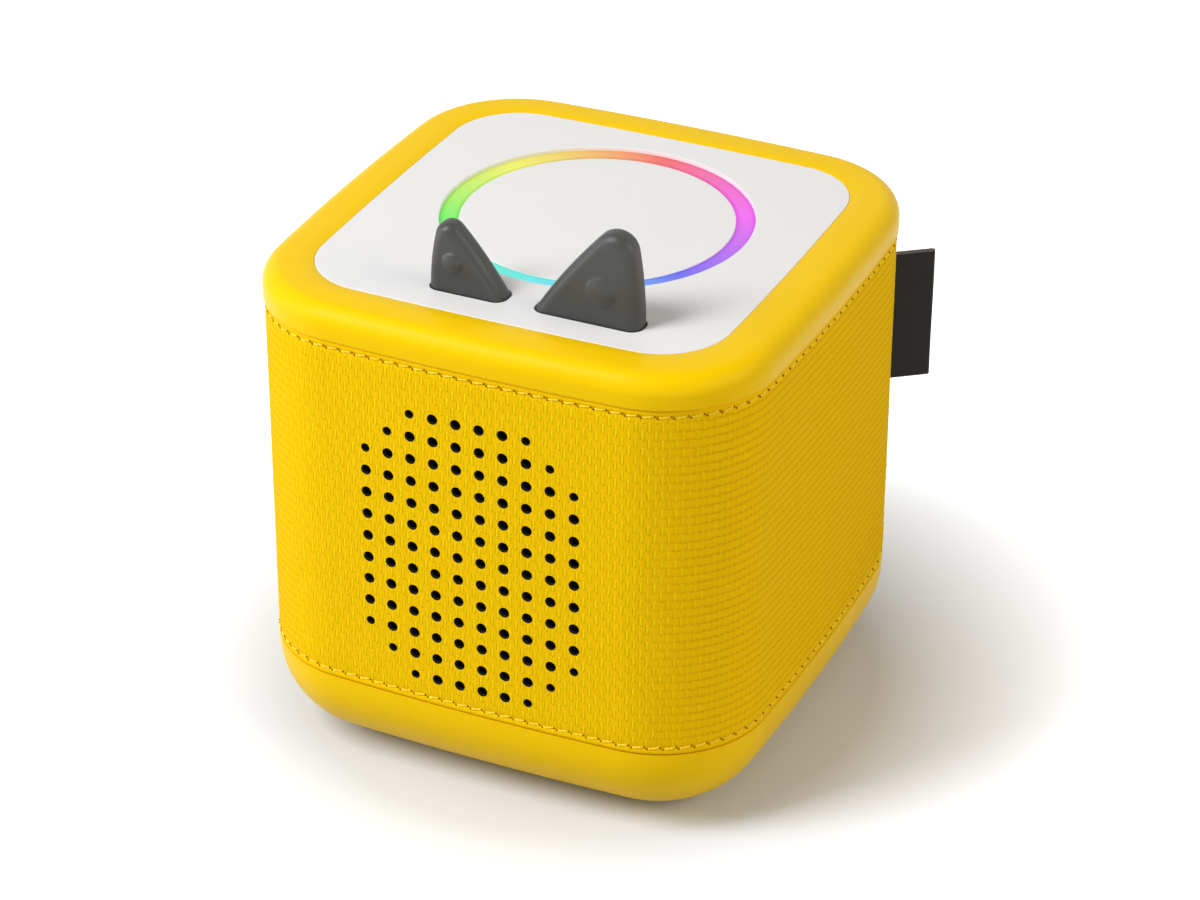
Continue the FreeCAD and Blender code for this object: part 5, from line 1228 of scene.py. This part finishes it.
def sewing_tree(name, shape):
    """Geometry tree that lays a shape at every pitch along a seam, slanted and facing outwards."""
    group, given, out = new_group(name, {
        "Geometry": "Geometry", "Pitch": 3.5 * MM, "Length": 2.7 * MM, "Radius": 0.2 * MM, "Stand": 0.0,
        "Slant": 0.157, "Material": "Material",
    }, {"Geometry": "Geometry"}, "GeometryNodeTree")
    line = add_node(group, "GeometryNodeMeshToCurve", {"Mesh": given["Geometry"]})
    even = add_node(group, "GeometryNodeResampleCurve", {
        "Curve": line, "Length": given["Pitch"]}, mode="LENGTH")
    facing = add_node(group, "GeometryNodeInputNamedAttribute", {"Name": "facing"}, data_type="FLOAT_VECTOR")
    lengthwise = add_node(group, "FunctionNodeAlignRotationToVector", {
        "Vector": group.nodes.new("GeometryNodeInputTangent")}, axis="X")
    outward = add_node(group, "FunctionNodeAlignRotationToVector", {
        "Rotation": lengthwise, "Vector": facing}, axis="Z", pivot_axis="X")
    slant = add_node(group, "FunctionNodeAxisAngleToRotation", {
        "Axis": (0.0, 0.0, 1.0), "Angle": given["Slant"]})
    slanted = add_node(group, "FunctionNodeRotateRotation", {
        "Rotation": outward, "Rotate By": slant}, rotation_space="LOCAL")
    laid = add_node(group, "GeometryNodeInstanceOnPoints", {
        "Points": even, "Instance": shape(group, given), "Rotation": slanted})
    whole = add_node(group, "GeometryNodeRealizeInstances", {"Geometry": laid})
    smooth = add_node(group, "GeometryNodeSetShadeSmooth", {"Geometry": whole})
    feed(group, out["Geometry"], add_node(group, "GeometryNodeSetMaterial", {
        "Geometry": smooth, "Material": given["Material"]}))
    return group


class PLAYER_OT_stitching(bpy.types.Operator):
    """Rows of stitches and needle holes inside both edges of the cover"""
    bl_idname = "player.stitching"
    bl_label = "Stitching"

    def execute(self, context):
        sizes = context.scene.player_sizes
        seams = {"upper": [(turn, CLOTH_TOP - sizes.hem) for turn in BODY_OUTLINE.turns(360)],
                 "lower": lower_seam(sizes.lower_hem)}
        kinds = (
            ("stitches", sewing_tree("stitches", stitch_shape), "thread",
             sizes.stitch_length, sizes.thread_radius, -0.12 * MM),
            ("needle_holes", sewing_tree("needle_holes", needle_shape), "needle",
             sizes.stitch_length + 0.3 * MM, 0.27 * MM, -0.06 * MM),
        )
        for seam, places in seams.items():
            for name, tree, finish, length, radius, stand in kinds:
                piece = seam_path(seam + "_" + name, places)
                run_tree(piece, tree, pitch=sizes.stitch_pitch, length=length, radius=radius, stand=stand,
                         material=MATERIALS[finish])
                settle(piece, "yellow_fabric", dressed=True)
        return {"FINISHED"}


class PLAYER_OT_side_tag(bpy.types.Operator):
    """Folded woven tag held in the upright seam"""
    bl_idname = "player.side_tag"
    bl_label = "Side tag"

    def execute(self, context):
        root, facing = BODY_OUTLINE.at(SEAM_TURN)
        sideways = Vector((-facing.y, facing.x))
        layer, fold = 0.55 * MM, 0.62 * MM
        reach, sunk, sway = 10.5 * MM, -1.3 * MM, 0.10 * MM
        straight, side = reach - fold, fold - layer / 2
        run = [sunk + (straight - sunk) * step / 12 for step in range(12)]
        route = [(out, side) for out in run]
        route += [(straight + across, up) for across, up in arc_steps(side, 90, -90, 8)]
        route += [(out, -side) for out in reversed(run)]
        lengths = [0.0]
        for first, second in zip(route, route[1:]):
            lengths.append(lengths[-1] + math.dist(first, second))
        rows, middle = 28, (TAG_BOTTOM + TAG_TOP) / 2
        points, uvs = [], []
        for row in range(rows + 1):
            height = TAG_BOTTOM + (TAG_TOP - TAG_BOTTOM) * row / rows
            for (out, aside), length in zip(route, lengths):
                swayed = aside + sway * math.sin(height / (5.2 * MM)) * max(0.0, out) / reach
                spot = root + facing * out + sideways * swayed
                points.append((spot.x, spot.y, height))
                uvs.append((length, height - middle))
        wide = len(route)
        faces = [(step, step + 1, step + wide + 1, step + wide)
                 for row in range(rows) for step in range(row * wide, (row + 1) * wide - 1)]
        mesh = bpy.data.meshes.new("tag")
        mesh.from_pydata(points, [], faces)
        mesh.uv_layers.new(name="cloth").data.foreach_set("uv", [
            part for face in mesh.polygons for vertex in face.vertices for part in uvs[vertex]])
        tag = new_piece("tag", mesh)
        thick = tag.modifiers.new("thickness", "SOLIDIFY")
        thick.thickness = layer
        thick.offset = 0.0
        rounded = tag.modifiers.new("rounding", "BEVEL")
        rounded.width = 0.12 * MM
        rounded.segments = 2
        settled_mesh(tag)
        soften(tag.data, 40)
        settle(tag, "tag_fabric", "side_tag")
        return {"FINISHED"}


# ------------------------------------------------------------ operator: parts kept from the frame

class PLAYER_OT_kept_parts(bpy.types.Operator):
    """Finish every part that keeps its shape from the frame"""
    bl_idname = "player.kept_parts"
    bl_label = "Kept parts"

    def execute(self, context):
        slots = {part["node"]: part["material_slot"] for part in frame["record"]["subparts"]}
        for name, node in frame["nodes"].items():
            node.data.materials.clear()
            node.data.materials.append(MATERIALS[slots[name]])
        return {"FINISHED"}


# ------------------------------------------------------------ operator: stage

CAMERA_PLACE = Vector((0.31387, -0.67785, 0.4904))
CAMERA_FORWARD = Vector((-0.36049, 0.78726, -0.50027))
CAMERA_UP = Vector((-0.21148, 0.45338, 0.86586))
SENSOR_WIDTH = 36.0
LENS = 113.27

LAMP_TARGET = Vector((0.0, 0.0, 0.07))
# name, place, width, height, watts, colour
SOFTBOXES = (
    ("key", (-0.495, -0.572, 0.873), 0.36, 0.75, 9.2, (1.0, 1.0, 1.0)),
    ("left_strip", (-0.52, -0.27, 0.14), 0.15, 0.5, 1.0, (1.0, 1.0, 1.0)),
    ("side_fill", (1.25, 0.05, 0.7), 0.9, 0.7, 7.2, (1.0, 0.9, 0.72)),
    ("front_fill", (0.6, -1.15, 0.12), 0.9, 0.4, 2.2, (1.0, 1.0, 1.0)),
)
FLOOR_REACH = 6.0
# distances from the middle between which the floor's own glow comes in, and how strong it gets
GLOW_START, GLOW_FULL, GLOW = 0.068, 0.135, 0.83


def add_softbox(name, place, wide, tall, power, colour):
    """A rectangular lamp that faces the player."""
    lamp = bpy.data.lights.new(name, "AREA")
    lamp.shape = "RECTANGLE"
    lamp.size, lamp.size_y = wide, tall
    lamp.energy = power
    lamp.color = colour
    holder = bpy.data.objects.new(name, lamp)
    bpy.context.scene.collection.objects.link(holder)
    holder.location = place
    holder.rotation_euler = (LAMP_TARGET - Vector(place)).to_track_quat("-Z", "Y").to_euler()


def seen_directly(tree):
    """1 for what the camera sees, also in and through glossy and clear surfaces; 0 for light on them."""
    rays = tree.nodes.new("ShaderNodeLightPath").outputs
    mirrored = compute(tree, "MAXIMUM", rays["Is Glossy Ray"], rays["Is Transmission Ray"])
    return compute(tree, "MAXIMUM", rays["Is Camera Ray"], mirrored)


class PLAYER_OT_stage(bpy.types.Operator):
    """Pale floor, soft studio light and the camera"""
    bl_idname = "player.stage"
    bl_label = "Stage"

    def execute(self, context):
        context.scene.view_settings.view_transform = "Standard"
        self.place_camera(context.scene)
        for softbox in SOFTBOXES:
            add_softbox(*softbox)
        self.light_world(context.scene)
        self.lay_floor()
        return {"FINISHED"}

    def place_camera(self, scene):
        """Above the right of the player's front, with a long lens."""
        camera = bpy.data.objects.new("camera", bpy.data.cameras.new("camera"))
        scene.collection.objects.link(camera)
        scene.camera = camera
        camera.data.sensor_width = SENSOR_WIDTH
        camera.data.lens = LENS
        camera.data.clip_start = 0.02
        camera.data.clip_end = 50.0
        right = CAMERA_FORWARD.cross(CAMERA_UP).normalized()
        up = right.cross(CAMERA_FORWARD).normalized()
        axes = Matrix((right, up, -CAMERA_FORWARD.normalized())).transposed()
        camera.matrix_world = Matrix.Translation(CAMERA_PLACE) @ axes.to_4x4()

    def light_world(self, scene):
        """White to look at, and a weak even light on the player."""
        scene.world = world = bpy.data.worlds.new("studio")
        world.use_nodes = True
        tree = world.node_tree
        background = tree.nodes["Background"].inputs
        feed(tree, background["Color"], WHITE)
        feed(tree, background["Strength"], fit(tree, seen_directly(tree), 0.0, 1.0, 0.25, 1.0))

    def lay_floor(self):
        """Pale floor that keeps the player's shadow and turns white further out."""
        mesh = bpy.data.meshes.new("floor")
        corners = [(-1, -1), (1, -1), (1, 1), (-1, 1)]
        mesh.from_pydata([(x * FLOOR_REACH, y * FLOOR_REACH, 0) for x, y in corners], [], [(0, 1, 2, 3)])
        floor = new_piece("floor", mesh)
        made, tree, shader = new_material("pale_floor")
        seen = seen_directly(tree)
        glow = fit(tree, along(tree, "LENGTH", coordinates(tree)), GLOW_START, GLOW_FULL, 0.0, GLOW)
        dress(tree, shader, {
            # the cool tint that the camera sees is painted to cancel the yellow light bounced from the body
            # into the floor's shade
            "Base Color": blend_colours(tree, seen, (0.45, 0.45, 0.45), (0.79, 0.84, 0.93)),
            "Roughness": 1.0, "Specular IOR Level": 0.0,
            "Emission Color": WHITE, "Emission Strength": product(tree, seen, glow)})
        floor.data.materials.append(made)


# ------------------------------------------------------------ panel and running order

STEPS = (
    PLAYER_OT_stage, PLAYER_OT_kept_parts, PLAYER_OT_base_shell, PLAYER_OT_cloth_cover, PLAYER_OT_stitching,
    PLAYER_OT_top_rim, PLAYER_OT_top_plate, PLAYER_OT_light_ring, PLAYER_OT_seat, PLAYER_OT_ears,
    PLAYER_OT_side_tag,
)


class PLAYER_PT_finish(bpy.types.Panel):
    """The steps that dress the player"""
    bl_idname = "PLAYER_PT_finish"
    bl_label = "Story Player"
    bl_space_type = "VIEW_3D"
    bl_region_type = "UI"
    bl_category = "Story Player"

    def draw(self, context):
        column = self.layout.column()
        for step in STEPS:
            column.operator(step.bl_idname)
        for group in (context.scene.player_sizes, context.scene.player_colours):
            for name in group.bl_rna.properties.keys():
                if name not in ("rna_type", "name"):
                    column.prop(group, name)


CLASSES = (PlayerColours, PlayerSizes, *STEPS, PLAYER_PT_finish)


def register():
    for item in CLASSES:
        bpy.utils.register_class(item)
    bpy.types.Scene.player_colours = bpy.props.PointerProperty(type=PlayerColours)
    bpy.types.Scene.player_sizes = bpy.props.PointerProperty(type=PlayerSizes)


def unregister():
    del bpy.types.Scene.player_sizes
    del bpy.types.Scene.player_colours
    for item in reversed(CLASSES):
        bpy.utils.unregister_class(item)


def main():
    register()
    scene = bpy.context.scene
    make_materials(scene.player_sizes, scene.player_colours)
    bpy.ops.player.stage()
    bpy.ops.player.kept_parts()
    bpy.ops.player.base_shell()
    bpy.ops.player.cloth_cover()
    bpy.ops.player.stitching()
    bpy.ops.player.top_rim()
    bpy.ops.player.top_plate()
    bpy.ops.player.light_ring()
    bpy.ops.player.seat()
    bpy.ops.player.ears()
    bpy.ops.player.side_tag()


if __name__ == "__main__":
    main()
